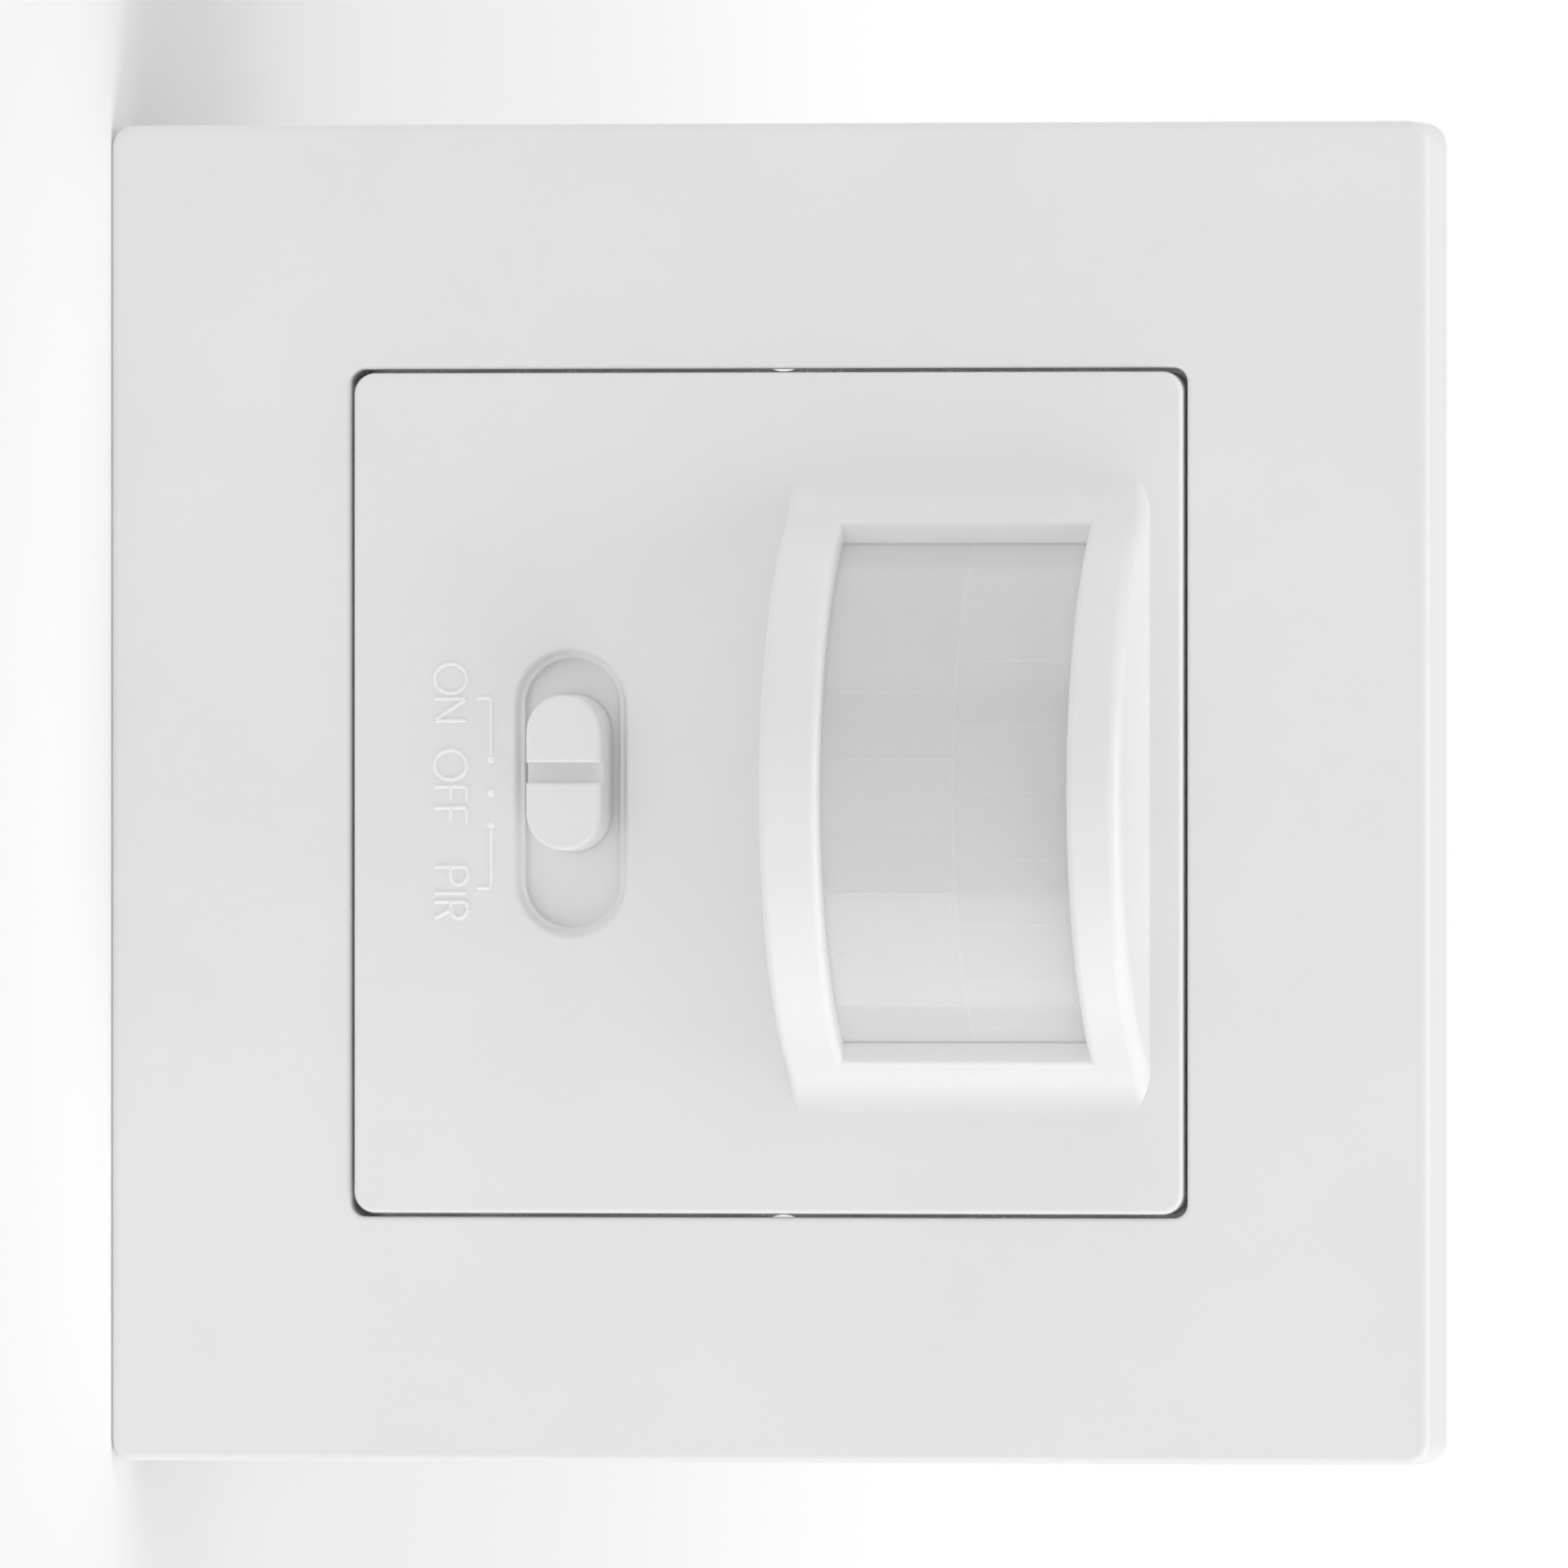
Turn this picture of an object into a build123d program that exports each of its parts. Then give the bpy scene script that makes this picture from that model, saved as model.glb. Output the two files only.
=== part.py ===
from build123d import *
from math import cos, hypot, radians, sin, sqrt
import os

# Motion sensor wall switch with a sliding mode knob and a curved sensor window.
# Millimetres. The wall plane is Y = 0, the front looks to -Y, +X is right and +Z is up.
# The origin is the middle of the two wall screws.

# Fits shared by all pieces
overrun = 1.0  # how far a cut runs past a surface
slip_gap = 0.1  # a piece laid into its seat
pin_gap = 0.05  # a pin in its bore, on the radius
reveal_gap = 0.25  # the visible joint between frame and insert
clear_gap = 0.4  # pieces that must not touch
tolerance = 0.01  # how near an edge lies to the place it is picked by

# Wall strap
screw_spacing = 60.3
screw_slot_length = 6.0
screw_slot_width = 4.4
screw_slot_margin = 2.85
strap_thickness = 1.2
strap_step = 0.6
strap_ring_overlap = 1.9
strap_corner_radius = 4.0

# Outer frame
frame_depth = 7.0
frame_wall = 2.0
frame_face = 2.0
frame_to_strap = 5.0
frame_corner_radius = 1.5
frame_edge_radius = 0.5
opening_corner_radius = 0.9
opening_edge_radius = 0.3
collar_wall = 1.5
collar_depth = 1.1
leg_width = 4.0
leg_thickness = 1.2
leg_inset = 3.0
leg_spread = 36.0
leg_play = 0.3

# Front insert
insert_side = 54.0
insert_proud = 0.3
insert_face = 1.8
insert_wall = 1.4
insert_corner_radius = 1.35
insert_edge_radius = 0.3
screw_notch_width = 11.0
screw_notch_depth = 3.2

# Hood over the lens
hood_radius = 20.5
hood_height = 12.0
hood_low = 1.5
hood_high = 24.9
hood_wall = 1.3
hood_blend_radius = 3.0
hood_top_ridge_radius = 0.9
hood_low_ridge_radius = 0.5
window_low_rim = 3.8
window_high_rim = 3.5
window_half_angle = 56.5
window_end_lean = 25.0
window_rim_radius = 0.5
cavity_foot = 0.2

# Lens and its retainer
lens_thickness = 0.6
retainer_rib = 1.0
retainer_flange = 1.0
retainer_overlap = 1.6
retainer_half_width = 16.0

# Knob recess and knob
recess_length = 18.5
recess_width = 7.3
recess_depth = 1.2
recess_floor = 1.2
recess_bevel_width = 0.28
recess_bevel_depth = 0.6
recess_ledge = 0.27
recess_ledge_radius = 0.08
recess_z = -12.8
knob_length = 10.1
knob_width = 5.0
knob_height = 3.9
knob_taper = 1.0
knob_rest_x = -1.3
knob_travel = 4.0
knob_groove_width = 1.3
knob_groove_depth = 1.0
knob_edge_radius = 0.25
stem_radius = 0.8
stem_play = 0.2

# Slide switch under the knob
switch_length = 12.8
switch_width = 6.0
switch_height = 5.0
switch_sheet = 0.4
switch_base_thickness = 1.2
slider_length = 7.6
slider_thickness = 1.6
neck_side = 2.8
neck_length = 4.2
neck_bore_depth = 2.3
contact_thickness = 0.25
contact_length = 5.0
contact_width = 3.4
contact_dimple_radius = 0.5
switch_pin_pitch = 3.0
switch_pins_a_row = 4
switch_pin_radius = 0.3

# Back housing
housing_depth = 30.0
housing_wall = 1.6
housing_back = 1.8
housing_corner_radius = 3.0
post_radius = 3.2

# Long screws through the stack
boss_radius = 2.2
boss_from_wall = 2.7
screw_radius = 1.25
screw_hole_radius = 1.4
screw_head_radius = 2.3
screw_head_height = 1.7
screw_head_sink = 0.5
screw_tip_depth = 8.0
screw_recess_width = 0.7
screw_recess_depth = 0.9

# Circuit boards
board_thickness = 1.6
board_corner_radius = 1.5
sensor_board_depth = 6.6
board_spacing = 2.6
lead_radius = 0.3
lead_length = 1.0

# Heat sensor
sensor_flange_radius = 4.6
sensor_flange_height = 0.7
sensor_can_radius = 4.1
sensor_can_height = 3.7
sensor_can_wall = 0.25
sensor_window_width = 5.0
sensor_window_height = 3.9
sensor_filter_margin = 0.4
sensor_filter_thickness = 0.4
sensor_element_width = 4.4
sensor_element_height = 3.2
sensor_element_thickness = 0.6
sensor_lead_circle = 2.54

# Small parts on the front board
photocell_radius = 2.5
photocell_height = 2.4
photocell_x = 9.5
chip_length = 9.9
chip_width = 3.9
chip_height = 1.5
chip_leg_reach = 1.0
chip_leg_width = 0.42
chip_leg_thickness = 0.25
chip_leg_pitch = 1.27
chip_legs_a_side = 7
chip_x = -13.0
chip_z = -0.5
small_can_radius = 2.5
small_can_height = 5.2
small_can_x = 13.5
small_can_z = 0.0
small_can_pitch = 6.2

# Pins between the boards
header_edge = 1.6
header_pin_count = 6
header_pin_pitch = 2.54
header_pin_side = 0.6
header_body_width = 2.5

# Relay
relay_length = 19.0
relay_width = 15.4
relay_headroom = 0.6
relay_wall = 0.8
relay_x = -6.0
relay_z = 3.6
relay_base_thickness = 1.5
relay_core_x = 0.5
relay_core_radius = 1.6
relay_pole_radius = 2.6
relay_pole_thickness = 0.6
relay_coil_radius = 4.2
relay_flange_radius = 4.7
relay_flange_thickness = 0.6
relay_yoke_thickness = 0.9
relay_yoke_width = 9.0
relay_yoke_reach = 6.2
armature_thickness = 0.9
armature_gap = 0.8
armature_width = 8.0
armature_hinge_gap = 0.1
armature_room = 1.5
contact_tip_radius = 0.9
contact_post_width = 1.6
contact_post_thickness = 0.5
contact_foot_width = 4.0
contact_tip_height = 0.5
contact_gap = 1.1

# Other parts on the power board
film_length = 13.0
film_width = 5.0
film_headroom = 4.8
film_x = -6.5
film_z = 15.8
smoother_radius = 4.0
smoother_headroom = 4.8
smoother_x = 8.8
smoother_z = 16.2
varistor_radius = 4.2
varistor_thickness = 3.2
varistor_x = 8.8
varistor_z = 8.0
fuse_length = 7.0
fuse_radius = 1.5
fuse_x = -9.0
fuse_z = -8.6
diode_length = 4.4
diode_radius = 1.2
diode_count = 4
diode_gap = 0.3
diode_first_x = 2.6
axial_reach = 1.6
axial_standoff = 0.5

# Trimmers
trimmer_side = 6.4
trimmer_height = 4.8
trimmer_z = 1.5
trimmer_pitch = 9.0
trimmer_bore_depth = 2.4
trimmer_shaft_radius = 1.9
trimmer_collar_radius = 2.6
trimmer_collar_height = 0.8
trimmer_shaft_sink = 0.4
trimmer_slot_width = 0.8
trimmer_slot_depth = 1.0

# Supply terminals
pole_count = 3
pole_pitch = 8.0
block_end_wall = 1.0
block_front_wall_share = 0.5
block_height = 10.0
block_floor = 2.5
block_partition = 1.4
wire_hole_radius = 1.5
wire_hole_depth = 8.2
cage_depth = 8.0
terminal_screw_radius = 1.4
terminal_head_radius = 2.0
terminal_head_height = 1.6
terminal_head_sink = 0.8
terminal_tail_side = 1.0

# Places that follow from the sizes
frame_front = -frame_depth
insert_front = frame_front - insert_proud
insert_back = insert_front + insert_face
strap_front = -strap_thickness
skirt_half = insert_side / 2 - insert_wall
ring_half = skirt_half - 2 * slip_gap
housing_half = ring_half - clear_gap
housing_inner = housing_half - housing_wall
ring_hole_half = housing_half - strap_ring_overlap
strap_half = (screw_spacing + screw_slot_length) / 2 + screw_slot_margin
frame_half = strap_half + frame_to_strap + frame_wall
opening_half = insert_side / 2 + reveal_gap
post_place = housing_half - boss_from_wall - housing_wall
board_half = housing_inner - housing_wall / 3
power_board_front = sensor_board_depth + board_thickness + board_spacing
power_board_back = power_board_front + board_thickness
sensor_board_back = sensor_board_depth + board_thickness
head_seat = housing_depth - screw_head_sink - screw_head_height
rear_room = housing_depth - housing_back - power_board_back
relay_height = rear_room - relay_headroom
armature_depth = relay_height - relay_wall - armature_room - armature_thickness
pole_depth = armature_depth - armature_gap - relay_pole_thickness
relay_coil_length = pole_depth - relay_base_thickness - relay_yoke_thickness
film_height = rear_room - film_headroom
smoother_height = rear_room - smoother_headroom
diode_z = relay_z - relay_width / 2 - slip_gap - diode_radius
diode_pitch = 2 * diode_radius + diode_gap
hood_axis = insert_front - hood_height + hood_radius
lens_outer = hood_radius - hood_wall - slip_gap
lens_inner = lens_outer - lens_thickness
cavity_half = sqrt((hood_radius - hood_wall) ** 2 - (hood_axis - insert_front) ** 2) + cavity_foot
lens_half = cavity_half - 2 * slip_gap
cavity_low = hood_low + hood_wall
cavity_high = hood_high - hood_wall
lens_z = (hood_low + window_low_rim + hood_high - window_high_rim) / 2
recess_bottom = insert_front + recess_depth
switch_x = knob_rest_x + knob_travel / 2
switch_front = sensor_board_depth - switch_height
leg_z = strap_half - leg_inset
header_x = board_half - header_edge
trimmer_x = header_x - (header_pin_side + trimmer_side) / 2 - clear_gap
corner_signs = [(-1, -1), (-1, 1), (1, -1), (1, 1)]


# Shapes used by many pieces
def slab(width, height, corner_radius, front, back, x=0, z=0):
    """A flat plate with rounded corners that faces the front."""
    outline = RectangleRounded(width, height, corner_radius)
    return Pos(x, back, z) * Rot(90, 0, 0) * extrude(outline, back - front)


def stadium(length, width, front, back, x=0, z=0):
    """A plate with round ends, long across the front."""
    outline = SlotOverall(length, width)
    return Pos(x, back, z) * Rot(90, 0, 0) * extrude(outline, back - front)


def block(low, high):
    """A square-edged block between two corners."""
    size = [end - start for start, end in zip(low, high)]
    middle = [(start + end) / 2 for start, end in zip(low, high)]
    return Pos(*middle) * Box(*size)


def rod(radius, front, back, x=0, z=0):
    """A round bar that runs from front to back."""
    return Pos(x, (front + back) / 2, z) * Rot(90, 0, 0) * Cylinder(radius, back - front)


def drum(radius, low, high, x=0, y=0):
    """A round bar that runs upwards."""
    return Pos(x, y, (low + high) / 2) * Cylinder(radius, high - low)


def fuse_all(shapes):
    """One shape from a list of shapes."""
    whole = shapes[0]
    for shape in shapes[1:]:
        whole = whole + shape
    return whole


def edges_at(shape, level, radius):
    """Rounds all edges that lie flat at one depth."""
    found = [edge for edge in shape.edges() if abs(edge.center().Y - level) < tolerance]
    flat = [edge for edge in found if edge.bounding_box().size.Y < tolerance]
    return fillet(flat, radius)


# Outer frame: a shell that covers the strap, with four smooth legs
def make_outer_frame():
    cavity_side = 2 * (frame_half - frame_wall)
    inner_face = frame_front + frame_face
    shell = slab(2 * frame_half, 2 * frame_half, frame_corner_radius, frame_front, 0)
    shell = edges_at(shell, frame_front, frame_edge_radius)
    shell = shell - slab(cavity_side, cavity_side, opening_corner_radius, inner_face, overrun)
    collar_side = 2 * (opening_half + collar_wall)
    collar_back = inner_face + collar_depth
    collar = slab(collar_side, collar_side, opening_corner_radius, inner_face, collar_back)
    opening = slab(
        2 * opening_half, 2 * opening_half, opening_corner_radius, frame_front - overrun, overrun
    )
    shell = shell + collar - opening
    rim = [
        edge
        for edge in shell.edges()
        if edge.bounding_box().size.Y < tolerance
        and abs(edge.center().Y - frame_front) < tolerance
        and hypot(edge.center().X, edge.center().Z) < sqrt(2) * opening_half + slip_gap
        and max(abs(edge.center().X), abs(edge.center().Z)) < opening_half + slip_gap
    ]
    shell = fillet(rim, opening_edge_radius)
    return fuse_all([shell] + [leg(0, inner_face, -leg_play) for leg in frame_legs()])


def frame_legs():
    """One maker for each leg place, which takes the play around it and its two ends."""

    def at(x, z):
        def leg(play, front, back):
            half_width = leg_width / 2 + play
            half_thickness = leg_thickness / 2 + play
            low = (x - half_width, front, z - half_thickness)
            return block(low, (x + half_width, back, z + half_thickness))

        return leg

    return [at(i * leg_spread / 2, k * leg_z) for i, k in corner_signs]


# Wall strap: a steel plate with a ring stamped forward around the housing
def make_mounting_strap():
    plate = slab(2 * strap_half, 2 * strap_half, strap_corner_radius, strap_front, 0)
    hole = slab(2 * ring_half, 2 * ring_half, slip_gap, strap_front - overrun, overrun)
    ring = slab(
        2 * ring_half, 2 * ring_half, slip_gap, strap_front - strap_step, -strap_step
    )
    ring_hole = slab(
        2 * ring_hole_half,
        2 * ring_hole_half,
        housing_corner_radius - housing_wall,
        strap_front - strap_step - overrun,
        overrun,
    )
    strap = plate - hole + (ring - ring_hole)
    for side in (-1, 1):
        strap = strap - stadium(
            screw_slot_length,
            screw_slot_width,
            strap_front - overrun,
            overrun,
            x=side * screw_spacing / 2,
        )
    for leg in frame_legs():
        strap = strap - leg(leg_play, strap_front - overrun, overrun)
    return strap


# Hood: one large arc across the insert, run out onto its face by two hollow curves
def make_hood():
    rise = hood_axis - insert_front
    reach = hood_radius + hood_blend_radius
    foot = sqrt(reach**2 - (rise + hood_blend_radius) ** 2)
    touch_x = foot * hood_radius / reach
    touch_y = hood_axis - (rise + hood_blend_radius) * hood_radius / reach
    left_blend = TangentArc((-foot, insert_front), (-touch_x, touch_y), tangent=(1, 0))
    crown = ThreePointArc(
        (-touch_x, touch_y), (0, hood_axis - hood_radius), (touch_x, touch_y)
    )
    right_blend = TangentArc((foot, insert_front), (touch_x, touch_y), tangent=(-1, 0))
    sunk = Polyline(
        (-foot, insert_front), (-foot, insert_back), (foot, insert_back), (foot, insert_front)
    )
    outline = make_face([left_blend, crown, right_blend, sunk])
    hood = Pos(0, 0, hood_low) * extrude(outline, hood_high - hood_low, dir=(0, 0, 1))
    hood = ridge(hood, hood_high, hood_top_ridge_radius)
    hood = ridge(hood, hood_low, hood_low_ridge_radius)
    hood = hood - make_hood_cavity()
    hood = hood - make_window_wedge()
    return fillet(window_edges(hood), window_rim_radius)


def ridge(hood, level, radius):
    """Rounds the curved edge along one side of the hood."""
    curved = [
        edge
        for edge in hood.edges().filter_by(GeomType.CIRCLE)
        if abs(edge.center().Z - level) < tolerance
    ]
    return fillet(curved, radius)


def make_hood_cavity():
    """The hollow under the hood, through the insert's face."""
    hollow = drum(hood_radius - hood_wall, cavity_low, cavity_high, y=hood_axis)
    reach = block(
        (-cavity_half, hood_axis - hood_radius, cavity_low),
        (cavity_half, insert_back + overrun, cavity_high),
    )
    return hollow & reach


def make_window_wedge():
    """The sector that opens the hood in front of the lens, with end walls that lean outwards."""
    inner = hood_radius - hood_wall
    angle = radians(window_half_angle)
    lean = radians(window_half_angle + window_end_lean)
    end_x = inner * sin(angle)
    end_y = hood_axis - inner * cos(angle)
    far_x = end_x + 2 * hood_wall * sin(lean)
    far_y = end_y - 2 * hood_wall * cos(lean)
    front = hood_axis - hood_radius - hood_wall
    sector = Polyline(
        (0, hood_axis),
        (-end_x, end_y),
        (-far_x, far_y),
        (-far_x, front),
        (far_x, front),
        (far_x, far_y),
        (end_x, end_y),
        (0, hood_axis),
    )
    low = hood_low + window_low_rim
    high = hood_high - window_high_rim
    wedge = extrude(make_face(sector), high - low, dir=(0, 0, 1))
    return Pos(0, 0, low) * wedge


def window_edges(hood):
    """The outer rim of the opening: two long arcs and two straight ends."""
    found = []
    low = hood_low + window_low_rim
    high = hood_high - window_high_rim
    for edge in hood.edges():
        middle = edge.center()
        inside = low - slip_gap < middle.Z < high + slip_gap
        ends = [edge.position_at(share) for share in (0, 0.5, 1)]
        far = [hypot(point.X, point.Y - hood_axis) for point in ends]
        if inside and all(abs(length - hood_radius) < tolerance for length in far):
            found.append(edge)
    return found


# Front insert: face, skirt, hood, knob recess and screw bosses in one moulding
def make_front_insert():
    face = slab(insert_side, insert_side, insert_corner_radius, insert_front, insert_back)
    face = edges_at(face - make_recess_rim(), insert_front, insert_edge_radius)
    skirt = slab(insert_side, insert_side, insert_corner_radius, insert_back, strap_front)
    skirt = skirt - slab(
        2 * skirt_half, 2 * skirt_half, slip_gap, insert_back, strap_front + overrun
    )
    insert = face + skirt
    insert = insert - make_hood_cavity() + make_hood()
    floor_back = recess_bottom + recess_floor
    boss_length = recess_length + 2 * recess_floor
    boss_width = recess_width + 2 * recess_floor
    insert = insert + stadium(boss_length, boss_width, insert_back, floor_back, z=recess_z)
    for i, k in corner_signs:
        insert = insert + rod(
            boss_radius, insert_back, sensor_board_depth, i * post_place, k * post_place
        )
    insert = insert - make_recess_rim() - make_pocket() - make_stem_slot()
    insert = edges_at(insert, insert_front + recess_bevel_depth, recess_ledge_radius)
    pilot_front = sensor_board_depth - screw_tip_depth - overrun
    for i, k in corner_signs:
        insert = insert - rod(
            screw_radius + pin_gap,
            pilot_front,
            sensor_board_depth + overrun,
            i * post_place,
            k * post_place,
        )
    notch_front = strap_front - screw_notch_depth
    return insert - block(
        (-insert_side, notch_front, -screw_notch_width / 2),
        (insert_side, strap_front + overrun, screw_notch_width / 2),
    )


def make_recess_rim():
    """The bevelled mouth of the knob recess, down to a narrow ledge."""
    mouth = Pos(0, insert_front, recess_z) * Rot(90, 0, 0) * SlotOverall(
        recess_length, recess_width
    )
    ledge = Pos(0, insert_front + recess_bevel_depth, recess_z) * Rot(90, 0, 0) * SlotOverall(
        recess_length - 2 * recess_bevel_width, recess_width - 2 * recess_bevel_width
    )
    return loft([mouth, ledge], ruled=True)


def make_pocket():
    """The knob recess inside its ledge."""
    inset = 2 * (recess_bevel_width + recess_ledge)
    ledge_level = insert_front + recess_bevel_depth
    return stadium(
        recess_length - inset, recess_width - inset, ledge_level, recess_bottom, z=recess_z
    )


def make_stem_slot():
    """The slot in the recess floor for the knob's stem."""
    width = 2 * (stem_radius + stem_play)
    return stadium(
        width + knob_travel,
        width,
        recess_bottom - overrun,
        recess_bottom + recess_floor + overrun,
        x=switch_x,
        z=recess_z,
    )


# Lens: a thin curved sheet behind the opening
def make_fresnel_lens():
    low = cavity_low + slip_gap
    high = cavity_high - slip_gap
    sheet = drum(lens_outer, low, high, y=hood_axis)
    sheet = sheet - drum(lens_inner, low - overrun, high + overrun, y=hood_axis)
    reach = block(
        (-lens_half, hood_axis - hood_radius, low - overrun),
        (lens_half, insert_back, high + overrun),
    )
    return sheet & reach


# Lens retainer: a flange behind the face with two curved ribs that back the lens
def make_lens_retainer():
    rib_low = cavity_low + slip_gap
    rib_high = cavity_high - slip_gap
    flange = block(
        (-retainer_half_width, insert_back, cavity_low - retainer_overlap),
        (retainer_half_width, insert_back + retainer_flange, cavity_high + retainer_overlap),
    )
    ribs = drum(lens_inner - slip_gap, rib_low, rib_high, y=hood_axis) & block(
        (-retainer_half_width, hood_axis - hood_radius, rib_low),
        (retainer_half_width, insert_back, rib_high),
    )
    inside = block(
        (-retainer_half_width + retainer_rib, hood_axis - hood_radius, rib_low + retainer_rib),
        (
            retainer_half_width - retainer_rib,
            insert_back + retainer_flange + overrun,
            rib_high - retainer_rib,
        ),
    )
    channel = block(
        (-retainer_half_width - overrun, hood_axis - hood_radius, rib_low + retainer_rib),
        (retainer_half_width + overrun, insert_back - retainer_rib, rib_high - retainer_rib),
    )
    return flange + ribs - inside - channel


# Knob: two pads with a groove between them, and a stem that reaches the switch
def make_slider_knob():
    bottom = recess_bottom - slip_gap
    top = bottom - knob_height
    outline = SlotOverall(knob_length, knob_width)
    body = extrude(outline, knob_height, taper=knob_taper)
    body = Pos(knob_rest_x, bottom, recess_z) * Rot(90, 0, 0) * body
    groove = block(
        (knob_rest_x - knob_groove_width / 2, top - overrun, recess_z - knob_width),
        (knob_rest_x + knob_groove_width / 2, top + knob_groove_depth, recess_z + knob_width),
    )
    body = edges_at(body - groove, top, knob_edge_radius)
    stem_back = switch_front - neck_length + neck_bore_depth - slip_gap
    return body + rod(stem_radius, bottom, stem_back, knob_rest_x, recess_z)


# Slide switch: shell, base with pins, slider and contact bridge
def make_slide_switch_frame():
    shell = switch_block(switch_length, switch_width, switch_front, sensor_board_depth)
    hollow = switch_block(
        switch_length - 2 * switch_sheet,
        switch_width - 2 * switch_sheet,
        switch_front + switch_sheet,
        sensor_board_depth + overrun,
    )
    slot_length = neck_side + knob_travel + 2 * stem_play
    slot = switch_block(
        slot_length, neck_side + 2 * stem_play, switch_front - overrun, sensor_board_depth
    )
    return shell - hollow - slot


def switch_block(length, width, front, back, x=switch_x):
    """A block centred on the switch."""
    return block(
        (x - length / 2, front, recess_z - width / 2),
        (x + length / 2, back, recess_z + width / 2),
    )


def make_slide_switch_base():
    base = switch_block(
        switch_length - 2 * switch_sheet - 2 * slip_gap,
        switch_width - 2 * switch_sheet - 2 * slip_gap,
        sensor_board_depth - switch_base_thickness,
        sensor_board_depth,
    )
    pins = [
        rod(switch_pin_radius, sensor_board_depth, sensor_board_back + lead_length, x, z)
        for x, z in switch_pins()
    ]
    return fuse_all([base] + pins)


def switch_pins():
    """Two rows of four pins."""
    row = switch_width / 2 - switch_sheet - 2 * switch_pin_radius - slip_gap
    return [
        (switch_x + (i - (switch_pins_a_row - 1) / 2) * switch_pin_pitch, recess_z + side * row)
        for i in range(switch_pins_a_row)
        for side in (-1, 1)
    ]


def make_slide_switch_actuator():
    front = switch_front + switch_sheet + slip_gap
    width = switch_width - 2 * switch_sheet - 2 * slip_gap
    slider = switch_block(slider_length, width, front, front + slider_thickness, knob_rest_x)
    neck = switch_block(neck_side, neck_side, switch_front - neck_length, front, knob_rest_x)
    neck_front = switch_front - neck_length
    bore = rod(
        stem_radius + pin_gap,
        neck_front - overrun,
        neck_front + neck_bore_depth,
        knob_rest_x,
        recess_z,
    )
    return slider + neck - bore


def make_slide_switch_contact():
    front = switch_front + switch_sheet + slip_gap + slider_thickness
    back = sensor_board_depth - switch_base_thickness - pin_gap
    strip = switch_block(
        contact_length, contact_width, front, front + contact_thickness, knob_rest_x
    )
    dimples = [
        rod(
            contact_dimple_radius,
            front,
            back,
            knob_rest_x + i * (contact_length / 2 - contact_dimple_radius),
            recess_z + k * (contact_width / 2 - contact_dimple_radius),
        )
        for i, k in corner_signs
    ]
    return fuse_all([strip] + dimples)


# Circuit boards with holes for the screws and for every lead
def make_board(front, leads):
    back = front + board_thickness
    board = slab(2 * board_half, 2 * board_half, board_corner_radius, front, back)
    holes = [
        rod(screw_hole_radius, front - overrun, back + overrun, i * post_place, k * post_place)
        for i, k in corner_signs
    ]
    holes += [
        rod(radius + slip_gap, front - overrun, back + overrun, x, z) for x, z, radius in leads
    ]
    return board - holes


def sensor_board_leads():
    leads = [(x, z, switch_pin_radius) for x, z in switch_pins()]
    leads += [(x, z, lead_radius) for x, z in sensor_pins() + photocell_pins() + can_pins()]
    return leads + header_holes()


def power_board_leads():
    pins = relay_pins() + film_pins() + smoother_pins() + varistor_pins() + trimmer_pins()
    pins += fuse_pins() + diode_pins()
    tail = terminal_tail_side / sqrt(2)
    return (
        [(x, z, lead_radius) for x, z in pins]
        + header_holes()
        + [(x, tail_z(), tail) for x in pole_places()]
    )


def make_board_spacers():
    return Compound(
        [
            rod(boss_radius, sensor_board_back, power_board_front, i * post_place, k * post_place)
            - rod(
                screw_hole_radius,
                sensor_board_back - overrun,
                power_board_front + overrun,
                i * post_place,
                k * post_place,
            )
            for i, k in corner_signs
        ]
    )


# Heat sensor: header with leads, can with its window, filter and element
def sensor_pins():
    angles = (0, 120, 240)
    return [
        (
            sensor_lead_circle * cos(radians(angle)),
            lens_z + sensor_lead_circle * sin(radians(angle)),
        )
        for angle in angles
    ]


def make_pir_header():
    front = sensor_board_depth - sensor_flange_height
    flange = rod(sensor_flange_radius, front, sensor_board_depth, 0, lens_z)
    pins = [
        rod(lead_radius, sensor_board_depth, sensor_board_back + lead_length, x, z)
        for x, z in sensor_pins()
    ]
    return fuse_all([flange] + pins)


def make_pir_can():
    back = sensor_board_depth - sensor_flange_height
    front = back - sensor_can_height
    can = rod(sensor_can_radius, front, back, 0, lens_z)
    can = can - rod(
        sensor_can_radius - sensor_can_wall, front + sensor_can_wall, back + overrun, 0, lens_z
    )
    return can - block(
        (-sensor_window_width / 2, front - overrun, lens_z - sensor_window_height / 2),
        (sensor_window_width / 2, back, lens_z + sensor_window_height / 2),
    )


def make_pir_filter():
    front = sensor_board_depth - sensor_flange_height - sensor_can_height + sensor_can_wall
    half_width = sensor_window_width / 2 + sensor_filter_margin
    half_height = sensor_window_height / 2 + sensor_filter_margin
    return block(
        (-half_width, front, lens_z - half_height),
        (half_width, front + sensor_filter_thickness, lens_z + half_height),
    )


def make_pir_element():
    back = sensor_board_depth - sensor_flange_height
    return block(
        (
            -sensor_element_width / 2,
            back - sensor_element_thickness,
            lens_z - sensor_element_height / 2,
        ),
        (sensor_element_width / 2, back, lens_z + sensor_element_height / 2),
    )


# Other parts on the front board
def photocell_pins():
    return [(photocell_x, lens_z + side * photocell_radius / 2) for side in (-1, 1)]


def make_light_sensor():
    front = sensor_board_depth - photocell_height
    disc = rod(photocell_radius, front, sensor_board_depth, photocell_x, lens_z)
    return leaded(disc, photocell_pins(), sensor_board_depth, sensor_board_back)


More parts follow.
